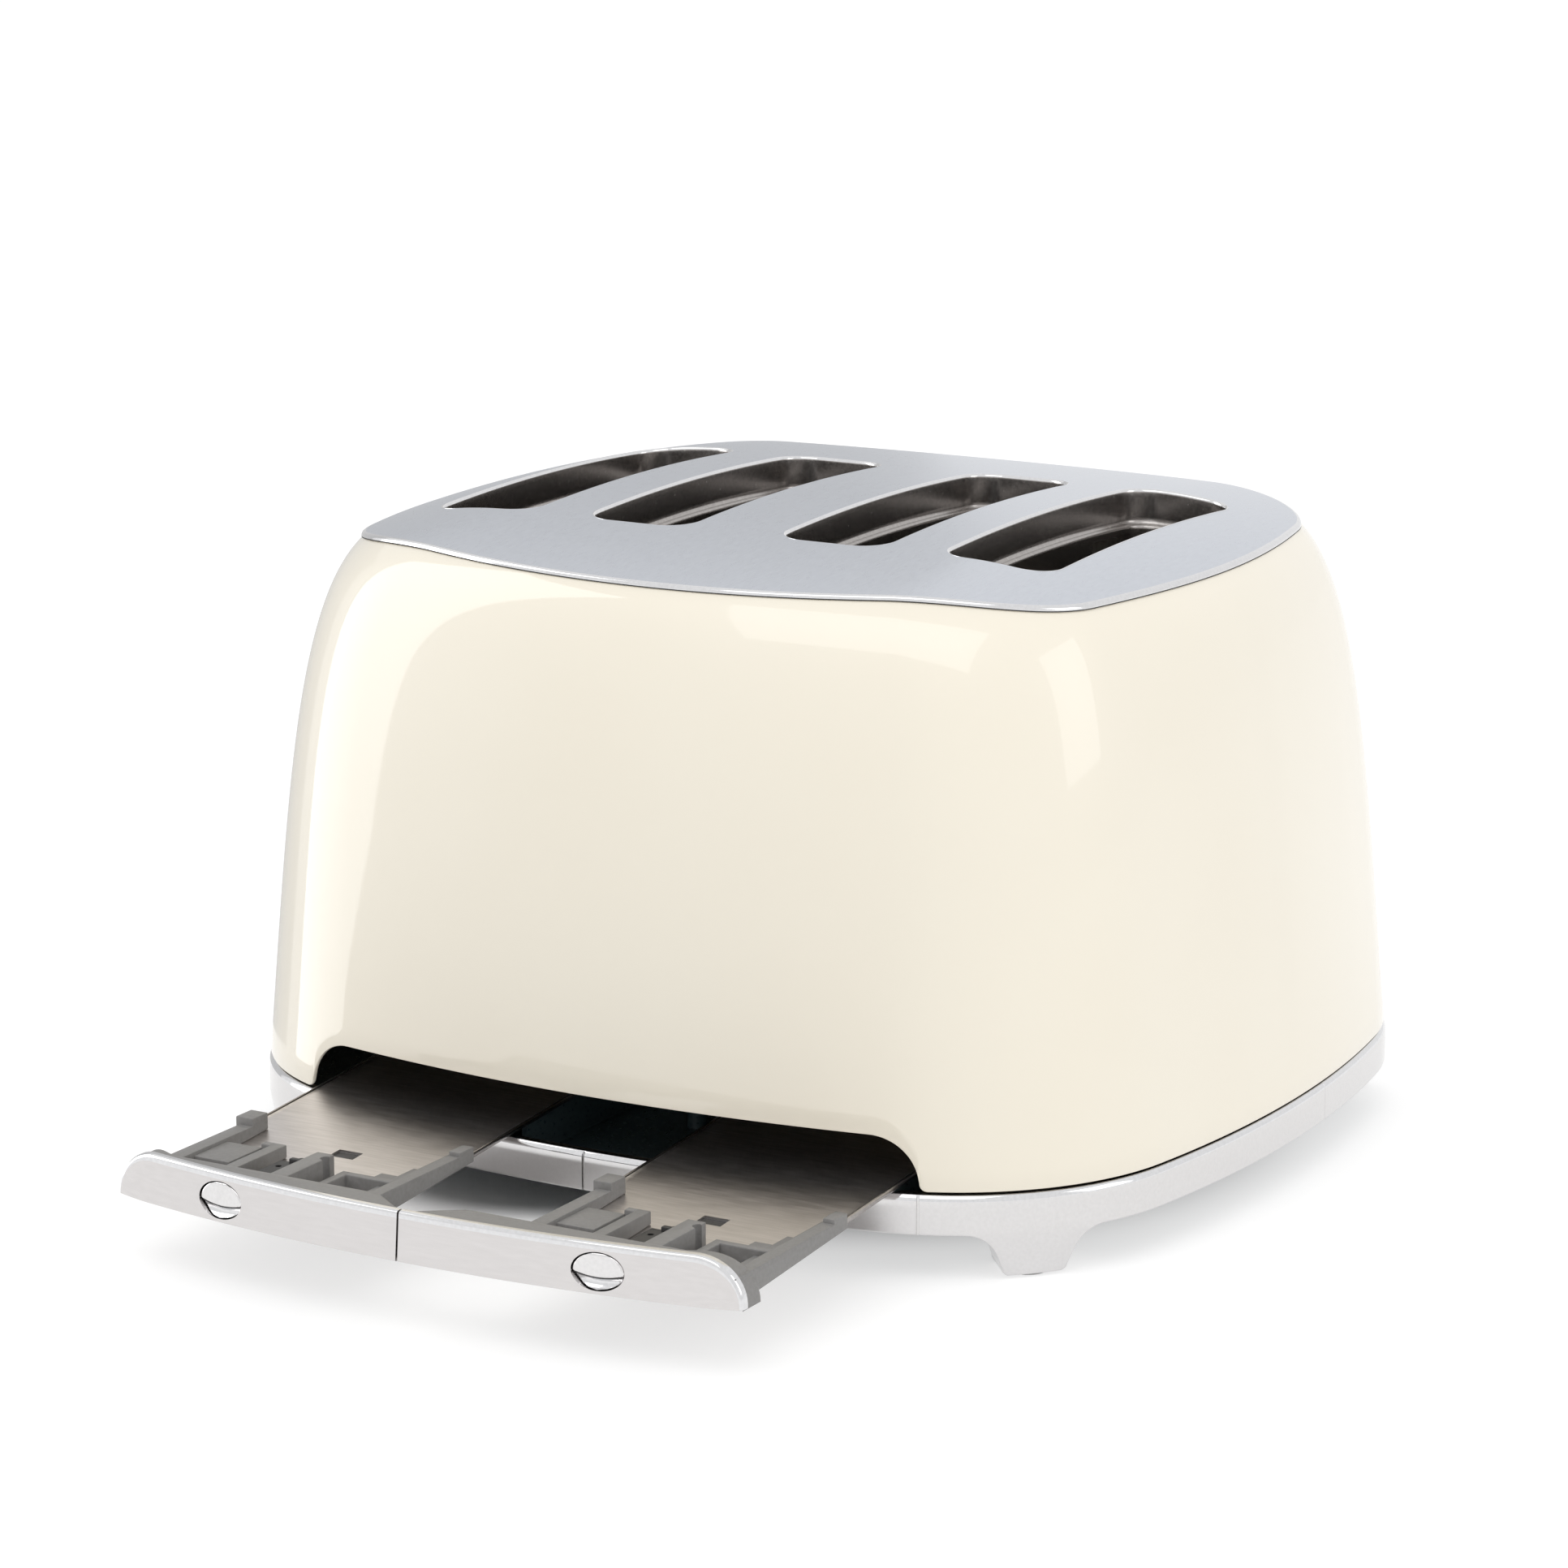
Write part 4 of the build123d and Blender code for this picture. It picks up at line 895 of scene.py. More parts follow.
def make_ring():
    """Cast bright ring with four tapering feet and a polished upper edge under the shell's shadow gap."""

    def outset_at(height):
        share = min(1.0, (height - FOOT_Z) / (RING_Z - FOOT_Z))
        return -FOOT_TUCK + (RING_PROUD + FOOT_TUCK) * share

    edge_top = SEAM_Z - 0.7
    polished = ((-1.4, 0.0), (-0.75, 0.1), (-0.3, 0.45), (0.1, 1.0), (0.36, 1.5), (RING_PROUD, 2.1))
    band = ((RING_PROUD, 24), (RING_PROUD, 20.5))
    taper_top = 17.5
    sole_edge = ((-0.12, 0.3), (-0.4, 0.08), (-0.9, 0.0))
    columns = []
    for turn, across, groove in ring_columns():
        low = foot_low(across)
        deep = FOOT_DEPTH if abs(across) < FOOT_TOP_HALF - 0.01 else RING_WALL
        column = [(-RING_WALL, edge_top)] + [(out, edge_top - down) for out, down in polished]
        column += band
        column += [(outset_at(height), height) for height in spread(taper_top, low + 0.7, 10)]
        column += [(outset_at(low) + out, low + up) for out, up in sole_edge]
        column += [(-deep, low), (-deep, RING_Z - 0.1), (-RING_WALL, RING_Z - 0.05)]
        floor = RING_PROUD - groove
        columns.append([(*plan_point(turn, SEAM_Z, min(outset, floor)), z) for outset, z in column])
    builder = bmesh.new()
    faces = skin(builder, columns, wrap_columns=True, wrap_rows=True)
    rows = len(columns[0])
    for number, face in enumerate(faces):
        face.material_index = 1 if 0 < number % rows < len(polished) else 0
    ring = finish_mesh(piece_from("ring_with_feet", builder), 42)
    coat(ring, "ring_chrome", "polished_steel")
    set_piece(ring, "body", "ring_chrome", "base_ring")


# Crumb trays


def fascia_edge(inset, count_straight=44, count_round=18):
    """Upper edge of a fascia, shrunk by an inset, from the parting outwards."""
    bend = ARCH_ROUND - FASCIA_GAP
    centre_x = ARCH_HALF - ARCH_ROUND
    centre_z = ARCH_TOP - ARCH_ROUND
    edge = [(x, ARCH_TOP - FASCIA_GAP - inset) for x in spread(PARTING, centre_x, count_straight)]
    for degrees in spread(0, 90, count_round)[1:]:
        turn = math.radians(degrees)
        radius = bend - inset
        edge.append((centre_x + radius * math.sin(turn), centre_z + radius * math.cos(turn)))
    return edge


def push_hole(side):
    """Outline of the oval hole round a push button, at the drawn tray's height."""
    half_width = PUSH_HALF_WIDTH + PUSH_GAP
    half_height = PUSH_HALF_HEIGHT + PUSH_GAP
    return ellipse(side * PUSH_X, PUSH_Z + PULLED.z, half_width, half_height)


def make_fascia(name, side):
    """Bright curved front of a tray with a polished rolled top edge and an oval hole."""
    roll = ((1.0, 1.0), (0.68, 0.94), (0.4, 0.76), (0.18, 0.46), (0.05, 0.08), (0, -0.4), (0, -FASCIA_BACK))
    flat_rows = 12
    edges = [fascia_edge(inset) for inset, _ in roll]
    columns = []
    for place, (x, top) in enumerate(edges[0]):
        low = min(FASCIA_Z + 0.45, top)
        hem = FASCIA_Z + min(0.12, top - FASCIA_Z)
        column = [(x, FASCIA_Z, FASCIA_PROUD - 0.45), (x, hem, FASCIA_PROUD - 0.1)]
        column += [(x, z, FASCIA_PROUD) for z in spread(low, top, flat_rows)[:-1]]
        column += [(*edges[row][place], outset) for row, (_, outset) in enumerate(roll)]
        column.append((edges[-1][place][0], FASCIA_Z, -FASCIA_BACK))
        columns.append([Vector((side * x, rear_y(x, z, out), z)) + PULLED for x, z, out in column])
    builder = bmesh.new()
    faces = skin(builder, columns, wrap_rows=True, ends=True)
    rows = len(columns[0])
    roll_start = flat_rows + 1
    for number, face in enumerate(faces):
        face.material_index = 1 if roll_start <= number % rows < roll_start + len(roll) else 0
    fascia = piece_from(f"fascia_{name}", builder)
    coat(fascia, "fascia_steel", "polished_steel")
    hole = prisms("fascia_hole", [push_hole(side)], HALF_DEPTH / 2, 3 * HALF_DEPTH, along_y)
    combine(fascia, hole, "DIFFERENCE")
    finish_mesh(fascia, 40)
    set_piece(fascia, f"{name}_tray", "fascia_steel", f"tray_fascia_{name}")


def make_push(name, side):
    """Oval push button: a flat bare upper part over a polished crescent for the fingertip, with a black
    line in the groove between them as painted shade.
    """
    scoop = 1.5
    groove = 0.5
    crescent_rows = 10
    shade_line_rows = 2
    edge_dip = 0.45
    columns = []
    for share in spread(-1, 1, 40):
        brow = -0.3 + 0.22 * share**2
        rows = []
        for level in spread(-1, brow - 0.14, crescent_rows):
            rows.append((level, scoop * math.sin(math.pi * (level + 1) / (brow + 1)) ** 0.8))
        rows += [(brow - 0.1, groove), (brow - 0.05, groove), (brow, 0.12), (brow + 0.04, 0.0)]
        rows += [(level, 0.0) for level in spread(brow + 0.12, 0.9, 8)] + [(0.96, 0.1), (1, edge_dip)]
        column = []
        for level, dip in rows:
            x = PUSH_X + share * PUSH_HALF_WIDTH * math.sqrt(max(0.0, 1 - level**2))
            z = PUSH_Z + PUSH_HALF_HEIGHT * level
            dip += edge_dip * max(0.0, (abs(share) - 0.9) / 0.1) ** 2
            column.append(Vector((side * x, rear_y(x, z, FASCIA_PROUD - 0.1) - dip, z)) + PULLED)
        columns.append(column)
    builder = bmesh.new()
    faces = skin(builder, columns)
    count = len(columns[0]) - 1
    for number, face in enumerate(faces):
        row = number % count
        if row < crescent_rows:
            face.material_index = 1
        # the groove's rows take black plastic, a painted shade line under the brow
        elif row < crescent_rows + shade_line_rows:
            face.material_index = 2
    bmesh.ops.remove_doubles(builder, verts=builder.verts[:], dist=0.002)
    cap = bmesh.ops.extrude_face_region(builder, geom=builder.faces[:], use_keep_orig=True)
    for part in cap["geom"]:
        if isinstance(part, bmesh.types.BMVert):
            part.co.y = PUSH_CAP_BACK + PULLED.y
    push = piece_from(f"push_{name}", builder)
    coat(push, "push_chrome", "polished_steel", "black_plastic")
    finish_mesh(push, 45)
    set_piece(push, f"{name}_push", "push_chrome", f"tray_push_{name}")


def drawn_prism(name, outline, x_low, x_high):
    """Closed prism across a tray, shaped shut and then drawn out."""
    builder = bmesh.new()
    prism(builder, outline, x_low, x_high, along_x)
    bmesh.ops.translate(builder, verts=builder.verts, vec=PULLED)
    return piece_from(name, builder)


def rib_solid(name, x_low, x_high, y_low, y_high, top, lift=PAN_FLOOR, round_edge=0.45):
    """Moulded rib along Y with a level top, whose foot follows the tray slope."""
    outline = (
        (y_low, slide_z(y_low) + lift),
        (y_high, slide_z(y_high) + lift),
        (y_high, top),
        (y_low, top),
    )
    return soften(drawn_prism(name, outline, x_low, x_high), round_edge)


def bar_solid(name, side):
    """Bar behind a fascia: it follows the fascia's corner and tapers away towards the parting."""
    chamfer = 16.0
    runner_room = 0.13
    least_depth = 0.8
    least_height = 1.0
    bend = 0.6
    joint = -FASCIA_BACK - 0.1
    low = FASCIA_Z
    columns = []
    for x, top in fascia_edge(FASCIA_GAP):
        top = max(top, low + least_height)
        front = rear_y(x, top, joint)
        back = BAR_BACK + runner_room + max(0.0, chamfer + PARTING - x) * (front - BAR_BACK) / chamfer
        back = min(front - least_depth, back)
        column = [(back, low), (back, top - bend), (back + 0.18, top - 0.18), (back + bend, top)]
        for share in spread(0, 1, 4)[1:]:
            column.append((back + bend + (front - back - bend) * share, top))
        for share in spread(1, 0, 4)[1:]:
            z = low + (top - low) * share
            column.append((rear_y(x, z, joint), z))
        columns.append([Vector((side * x, y, z)) + PULLED for y, z in column])
    return skinned(name, columns, wrap_rows=True, ends=True)


def bar_end_solid(side):
    """Outer end of a bar, which deepens round the fascia's corner and clears the pan's rim."""
    inner, outer = BAR_END_XS
    lap = 1.5
    bend = 0.5
    least_height = 0.6
    edge = [(x, top) for x, top in fascia_edge(FASCIA_GAP + 0.02) if x > inner]
    columns = []
    for x, top in edge:
        share = (x - edge[0][0]) / (edge[-1][0] - edge[0][0])
        back = BAR_BACK + (BAR_END_BACK - BAR_BACK) * share
        lift = 0.03 if x > outer else PAN_RIM + 0.4
        column = [(back, top - bend), (back + 0.15, top - 0.15), (back + bend, top), (BAR_BACK + lap, top)]
        for y in (BAR_BACK + lap, back):
            column.append((y, min(top - least_height, slide_z(min(y, BAR_BACK)) + lift)))
        columns.append([Vector((side * x, y, z)) + PULLED for y, z in column])
    return skinned("bar_end", columns, wrap_rows=True, ends=True)


FRAME_RIBS = {
    "plus_arm": (32.7, 38.2, 88.0, BAR_BACK + 2, FRAME_TOP),
    "plus_hook": (32.7, 39.4, 87.0, 95.5, FRAME_HIGH),
    "tab": (19.5, 33.5, 109.0, 127.0, FRAME_TOP - 1.2),
    "latch_wall": (12.0, 16.5, 106.0, BAR_BACK + 2, FRAME_TOP),
    "latch_wall_hook": (16.0, 20.0, 106.0, 109.0, FRAME_TOP),
    "channel_wall": (-13.9, -7.5, 117.0, BAR_BACK + 2, FRAME_TALL),
    "pocket_side": (-21.5, -18.5, 119.0, BAR_BACK + 2, FRAME_TOP),
    "pocket_back": (-38.0, -21.0, 119.0, 122.0, FRAME_TOP),
    "pocket_step": (-38.0, -33.0, 121.5, BAR_BACK + 2, FRAME_LOW),
    "back_step_1": (-27.0, -18.5, 115.5, 119.5, FRAME_LOW),
    "back_step_2": (-33.0, -26.5, 110.0, 119.5, FRAME_LOW),
    "back_step_3": (-38.0, -32.5, 101.0, 119.5, FRAME_LOW),
    "minus_arm": (-39.8, -37.3, 83.0, BAR_BACK + 2, FRAME_TOP),
}
FRAME_SKIRTS = {
    "skirt": (-42.8, -40.9, 82.0, BAR_BACK + 2, FRAME_TOP, 0.0),
    "skirt_tab": (-42.8, -38.5, 82.0, 90.0, FRAME_TOP + 1.4, 0.6),
}
FLANGE_XS = (-42.6, -38.5)
FLANGE_START = 82.5
FLANGE_THICK = 1.3
CHANNEL_SPOT = (-13.9, 121.5)
CHANNEL_RADIUS = 1.9
POCKET_FLOOR = 1.0


def make_frame(name, side):
    """Grey moulded frame of a tray: bar, two arms, ribs round the latch and a walled pocket."""
    centre = side * TRAY_X
    body = combine(bar_solid(f"moulding_{name}", side), bar_end_solid(side), "UNION")
    for step, (label, (low, high, near, far, top)) in enumerate(FRAME_RIBS.items()):
        shift = step * RIB_STAGGER
        ends = (near - shift, far - shift, top - shift, PAN_FLOOR + shift)
        combine(body, rib_solid(label, centre + low, centre + high, *ends), "UNION")
    for label, (low, high, *ends) in FRAME_SKIRTS.items():
        combine(body, rib_solid(label, centre + low, centre + high, *ends), "UNION")
    near = FLANGE_START
    far = BAR_BACK + 2
    under = FRAME_TOP - FLANGE_THICK
    outline = ((near, under), (far, under), (far, FRAME_TOP), (near, FRAME_TOP))
    low, high = (centre + x for x in FLANGE_XS)
    combine(body, drawn_prism("flange", outline, low, high), "UNION")
    channel_x, channel_y = CHANNEL_SPOT
    channel = ellipse(centre + channel_x, channel_y + PULLED.y, CHANNEL_RADIUS, CHANNEL_RADIUS, 24)
    cuts = bmesh.new()
    prism(cuts, channel, 0, ARCH_TOP + 5, along_z)
    prism(cuts, push_hole(side), BAR_BACK + PULLED.y + POCKET_FLOOR, 3 * HALF_DEPTH, along_y)
    combine(body, piece_from("frame_cuts", cuts), "DIFFERENCE")
    finish_mesh(body, 32)
    set_piece(body, f"{name}_tray", "grey_plastic", f"tray_frame_{name}")


def make_pan(name, side):
    """Sheet steel crumb pan with rolled edges and a latch slot, which a black plate fills as painted shade
    of the floor under the slot.
    """
    half = PAN_HALF
    half_section = (
        (half, 0.0), (half, 1.1), (half - 0.2, 1.45), (half - 0.55, PAN_RIM), (half - 0.9, 1.45),
        (half - 1.1, 1.1), (half - 1.6, 0.88), (half - 2.6, PAN_FLOOR),
    )
    under = 8
    shade_plate_room = 0.1
    shade_plate_rise = 0.35
    loop = [(-x, z) for x, z in half_section] + list(reversed(half_section))
    loop += [(x, 0.0) for x in spread(half, -half, under)[1:-1]]
    columns = []
    for y in spread(PAN_END, PAN_FRONT, 40):
        columns.append([Vector((side * TRAY_X + x, y, slide_z(y) + z)) + PULLED for x, z in loop])
    builder = bmesh.new()
    faces = skin(builder, columns, wrap_rows=True, ends=True)
    rolled = len(half_section) - 2
    for number, face in enumerate(faces):
        row = number % len(loop)
        face.material_index = 1 if row < rolled or len(loop) > row + under > len(loop) - rolled else 0
    pan = piece_from(f"crumb_pan_{name}", builder)
    coat(pan, "pan_steel", "liner_steel")
    low, high = (side * TRAY_X + x for x in PAN_SLOT_X)
    near, far = (y + PULLED.y for y in PAN_SLOT_Y)
    outline = ((low, near), (high, near), (high, far), (low, far))
    combine(pan, prisms("pan_slot", [outline], 0, ARCH_TOP + 10, along_z), "DIFFERENCE")
    finish_mesh(pan, 35)
    set_piece(pan, f"{name}_tray", "pan_steel", f"tray_pan_{name}")
    # black plate in the slot: painted shade where the shadowed floor would show through
    near, far = PAN_SLOT_Y
    ends = (low + shade_plate_room, high - shade_plate_room, near + shade_plate_room, far - shade_plate_room)
    shade_plate = rib_solid(f"keeper_{name}", *ends, slide_z(far) + shade_plate_rise, 0.05, 0.1)
    set_piece(finish_mesh(shade_plate, 35), f"{name}_tray", "black_plastic")


def make_latch(name, side):
    """Black latch plate with a hole, a pin and a raised back edge."""
    centre = side * PUSH_X
    low = centre - LATCH_HALF
    near, far = LATCH_Y
    radius = 1.0
    latch = rib_solid(f"latch_{name}", low, centre + LATCH_HALF, near, far, 37.4, 1.6, 0.5)
    wall = rib_solid("latch_wall", low + 0.07, centre + 2, near + 0.07, near + 2.2, 39.0, 1.75, 0.4)
    combine(latch, wall, "UNION")
    pin = ellipse(centre - 4, 119.6 + PULLED.y, radius, radius, 24)
    combine(latch, prisms("pin", [pin], 28, 40.2 + PULLED.z, along_z), "UNION")
    hole = ellipse(centre + 3.2, 122.0 + PULLED.y, radius, radius, 24)
    combine(latch, prisms("hole", [hole], 20, 60, along_z), "DIFFERENCE")
    finish_mesh(latch, 35)
    set_piece(latch, f"{name}_push", "black_plastic", f"tray_latch_{name}")


# Levers, dials and buttons


def button_spot(side, angle):
    turn = math.radians(angle)
    return side * PAIR_X + BUTTON_ARC * math.cos(turn), DIAL_Z + BUTTON_ARC * math.sin(turn)


def front_y(x, height):
    return -rear_y(x, height)


def make_lever_knob(name, side):
    """Lever knob: a rounded bar with a finger hollow along its top."""
    middle_y = (KNOB_FRONT + KNOB_BACK) / 2
    half_y = (KNOB_BACK - KNOB_FRONT) / 2
    end_power = 3.4
    power = 2 / 2.9
    around = 56
    hollow = 1.5
    columns = []
    for across in spread(-1, 1, 48):
        size = (1 - abs(across) ** end_power) ** (1 / end_power)
        x = side * PAIR_X + KNOB_HALF * across
        column = []
        for step in range(around):
            turn = 2 * math.pi * step / around
            y = math.copysign(abs(math.cos(turn)) ** power, math.cos(turn))
            z = math.copysign(abs(math.sin(turn)) ** power, math.sin(turn))
            dip = hollow * max(0.0, z) * (1 - across**2) * math.exp(-((y + 0.1) ** 2) / 0.18)
            deep = half_y * y * (0.55 + 0.45 * size) * (size > 0)
            column.append((x, middle_y + deep, LEVER_Z + KNOB_TALL / 2 * z * size - dip * size))
        columns.append(column)
    knob = finish_mesh(skinned(f"lever_{name}", columns, wrap_rows=True), 60)
    set_piece(knob, f"{name}_lift", "knob_chrome", f"lever_knob_{name}")


DIAL_FACE = ((0, 0.9), (5, 0.8), (10, 0.45), (12.6, 0.1), (13.6, 0), (14.6, 0.3), (15.3, 1.0), (15.8, 2.2))
DIAL_GRIP = 16.2
DIAL_SKIRT = ((16.6, -2.0), (DIAL_RADIUS, -1.4), (DIAL_RADIUS, -0.3), (16.6, 0), (0, 0))
DIAL_POINTER = ((-0.7, 6.5), (0.7, 6.5), (0.7, 13.4), (-0.7, 13.4))
DIAL_FLUTES = 30
DIAL_BORE = 4.2
DIAL_RING_BEAD = ((-1.6, 0.2), (-1.2, 0), (-0.7, 0.05), (-0.2, 0.4), (0, 1.0))


def make_dial(name, side):
    """Fluted dial knob with a dished face, its bezel, its numbers and its pointer."""
    middle = side * PAIR_X
    grip = [(DIAL_GRIP, y) for y in spread(DIAL_FRONT + 3.4, DIAL_BACK - 3.0, 6)]
    profile = [(radius, DIAL_FRONT + back) for radius, back in DIAL_FACE] + grip
    profile += [(radius, DIAL_BACK + back) for radius, back in DIAL_SKIRT]
    grip_end = len(DIAL_FACE) + len(grip)

    def flute(row, turn):
        depth = 0.7 if len(DIAL_FACE) <= row < grip_end else 0.0
        return depth * (0.5 + 0.5 * math.cos(DIAL_FLUTES * turn)) ** 2

    knob = turned(f"dial_{name}", profile, middle, DIAL_Z, 240, flute=flute)
    set_piece(knob, f"{name}_dial", "knob_chrome", f"dial_knob_{name}")

    outline = [(middle + across, DIAL_Z + up) for across, up in DIAL_POINTER]
    pointer = prisms(f"dial_pointer_{name}", [outline], DIAL_FRONT, DIAL_FRONT + 2, along_y)
    finish_mesh(soften(pointer, 0.2), 40)
    set_piece(pointer, f"{name}_dial", "black_plastic")

    seat = front_y(middle, DIAL_Z) + 1.5
    foot = seat + 4
    face = DIAL_RING_FRONT + 0.25
    profile = [(DIAL_BORE, seat), (DIAL_BORE, face), (17.4, face)]
    profile += [(DIAL_RING_RADIUS + out, DIAL_RING_FRONT + back) for out, back in DIAL_RING_BEAD]
    profile += [(DIAL_RING_RADIUS, foot), (DIAL_BORE, foot), (DIAL_BORE, seat)]
    ring = turned(f"dial_bezel_{name}", profile, middle, DIAL_Z, 96, sharp=40.0)
    set_piece(ring, "body", "satin_steel", f"dial_ring_{name}", slot="knob_chrome")
    make_numbers(name, middle)


def make_numbers(name, middle):
    """Plain numbers round a dial."""
    upright = Matrix.Rotation(math.radians(90), 4, "X")
    joined = bmesh.new()
    for number in range(DIAL_NUMBERS):
        words = bpy.data.curves.new("number", "FONT")
        words.body = str(number + 1)
        words.size = DIAL_NUMBER_SIZE * MM
        words.align_x = "CENTER"
        words.align_y = "CENTER"
        words.extrude = 0.06 * MM
        holder = bpy.data.objects.new("number", words)
        bpy.context.scene.collection.objects.link(holder)
        graph = bpy.context.evaluated_depsgraph_get()
        mesh = bpy.data.meshes.new_from_object(holder.evaluated_get(graph))
        turn = math.radians(DIAL_NUMBER_SWEEP * (2 * number / (DIAL_NUMBERS - 1) - 1))
        x = middle + DIAL_NUMBER_RADIUS * math.sin(turn)
        z = DIAL_Z + DIAL_NUMBER_RADIUS * math.cos(turn)
        spot = Vector((x, DIAL_RING_FRONT + 0.2, z)) * MM
        mesh.transform(Matrix.Translation(spot) @ upright)
        joined.from_mesh(mesh)
        bpy.data.objects.remove(holder)
        bpy.data.curves.remove(words)
        bpy.data.meshes.remove(mesh)
    bmesh.ops.remove_doubles(joined, verts=joined.verts, dist=WELD * MM)
    set_piece(object_from(f"dial_numbers_{name}", joined), "body", "black_plastic")


BUTTON_FACE = ((0, 0.5), (1.6, 0.42), (2.9, 0.15), (3.4, 0), (3.8, 0.08), (4.15, 0.35))
BEZEL_ROWS = ((0, 1.5), (0, -0.5), (0.3, -0.8), (0.9, -0.7), (1.3, -0.2), (1.3, 1.5), (0, 1.5))


def make_button(name, side, label, angle):
    """Round push button with a dished face and a bright bezel."""
    x, z = button_spot(side, angle)
    seat = front_y(x, z)
    front = seat - BUTTON_PROUD
    profile = [(radius, front + back) for radius, back in BUTTON_FACE]
    profile += [(BUTTON_RADIUS, front + 0.85), (BUTTON_RADIUS, BUTTON_CAP_END), (0, BUTTON_CAP_END)]
    button = turned(f"{label}_cap_{name}", profile, x, z, 56)
    set_piece(button, f"{name}_{label}", "knob_chrome", f"{label}_button_{name}")
    rim = BUTTON_RADIUS + BUTTON_GAP
    profile = [(rim + out, seat + back) for out, back in BEZEL_ROWS]
    bezel = turned(f"{label}_bezel_{name}", profile, x, z, 56)
    set_piece(bezel, "body", "polished_steel", slot="knob_chrome")


# What repeats: guard wires and return springs, grown by node trees


def node_tree(name, sizes):
    """New tree with named inputs of the given kinds, and its two ends."""
    tree = bpy.data.node_groups.new(name, "GeometryNodeTree")
    tree.interface.new_socket("Geometry", in_out="OUTPUT", socket_type="NodeSocketGeometry")
    for label, kind in sizes.items():
        tree.interface.new_socket(label, in_out="INPUT", socket_type=f"NodeSocket{kind}")
    return tree, tree.nodes.new("NodeGroupInput"), tree.nodes.new("NodeGroupOutput")


def close_tree(tree, outlet, geometry, finish):
    """Realize what the tree made and give it its finish."""
    whole = add_node(tree, "GeometryNodeRealizeInstances", {"Geometry": geometry})
    smooth = add_node(tree, "GeometryNodeSetShadeSmooth", {"Geometry": whole})
    coated = add_node(tree, "GeometryNodeSetMaterial", {"Geometry": smooth, "Material": FINISH[finish]})
    tree.links.new(coated.outputs["Geometry"], outlet.inputs["Geometry"])


def grow(name, tree, values):
    """Mesh that a node tree makes of named sizes, in metres."""
    piece = bpy.data.objects.new(name, bpy.data.meshes.new(name))
    bpy.context.scene.collection.objects.link(piece)
    modifier = piece.modifiers.new("grow", "NODES")
    modifier.node_group = tree
    for item in tree.interface.items_tree:
        if item.in_out == "INPUT":
            modifier[item.identifier] = values[item.name]
    return apply_modifiers(piece)


def guard_tree():
    """Wire grille: upright wires in a row along Y between two long rails."""
    lengths = dict.fromkeys(("Pitch", "Height", "Span", "Wire Radius", "Rail Radius"), "Float")
    tree, inlet, outlet = node_tree("wire grille", {"Wires": "Int", **lengths})
    size = inlet.outputs
    step = add_node(tree, "ShaderNodeCombineXYZ", {"Y": size["Pitch"]})
    row = add_node(tree, "GeometryNodeMeshLine", {"Count": size["Wires"], "Offset": step})
    upright = {"Vertices": 12, "Radius": size["Wire Radius"], "Depth": size["Height"]}
    wire = add_node(tree, "GeometryNodeMeshCylinder", upright)
    wires = add_node(tree, "GeometryNodeInstanceOnPoints", {"Points": row, "Instance": wire})
    lift = add_node(tree, "ShaderNodeCombineXYZ", {"Z": size["Height"]})
    pair = add_node(tree, "GeometryNodeMeshLine", {"Count": 2, "Offset": lift})
    long = {"Vertices": 14, "Radius": size["Rail Radius"], "Depth": size["Span"]}
    rail = add_node(tree, "GeometryNodeMeshCylinder", long)
    lying = {"Points": pair, "Instance": rail, "Rotation": (math.radians(90), 0, 0)}
    rails = add_node(tree, "GeometryNodeInstanceOnPoints", lying)
    down = add_node(tree, "ShaderNodeVectorMath", {0: lift, "Scale": -0.5}, operation="SCALE")
    to_middle = {0: size["Wires"], 1: -0.5, 2: 0.5}
    half_row = add_node(tree, "ShaderNodeMath", to_middle, operation="MULTIPLY_ADD")
    along = add_node(tree, "ShaderNodeVectorMath", {0: step, "Scale": half_row}, operation="SCALE")
    both = tree.nodes.new("GeometryNodeJoinGeometry")
    for copies, shift in ((rails, down), (wires, along)):
        centred = add_node(tree, "GeometryNodeTransform", {"Geometry": copies, "Translation": shift})
        tree.links.new(centred.outputs["Geometry"], both.inputs["Geometry"])
    close_tree(tree, outlet, both, "sheet_steel")
    return tree


def make_guards():
    """Bread guards: a grille on one side of both slots of a pair, for each way that they close."""
    tree = guard_tree()
    sizes = {
        "Wires": GUARD_BARS,
        "Pitch": GUARD_PITCH * MM,
        "Height": (GUARD_HIGH - GUARD_LOW) * MM,
        "Span": GUARD_SPAN * MM,
        "Wire Radius": GUARD_BAR * MM,
        "Rail Radius": GUARD_WIRE * MM,
    }
    for name, side in SIDES.items():
        for way, move in (("out", 1), ("in", -1)):
            joined = bmesh.new()
            for near in (abs(SLOT_XS[1]), abs(SLOT_XS[0])):
                grille = grow("grille", tree, sizes)
                spot = Vector((side * near - move * GUARD_OFFSET, 0, (GUARD_LOW + GUARD_HIGH) / 2)) * MM
                grille.data.transform(Matrix.Translation(spot))
                joined.from_mesh(grille.data)
                drop_piece(grille)
            guards = object_from(f"grilles_{name}_{way}", joined)
            set_piece(guards, f"{name}_guards_{way}", "sheet_steel", f"bread_guards_{name}_{way}")


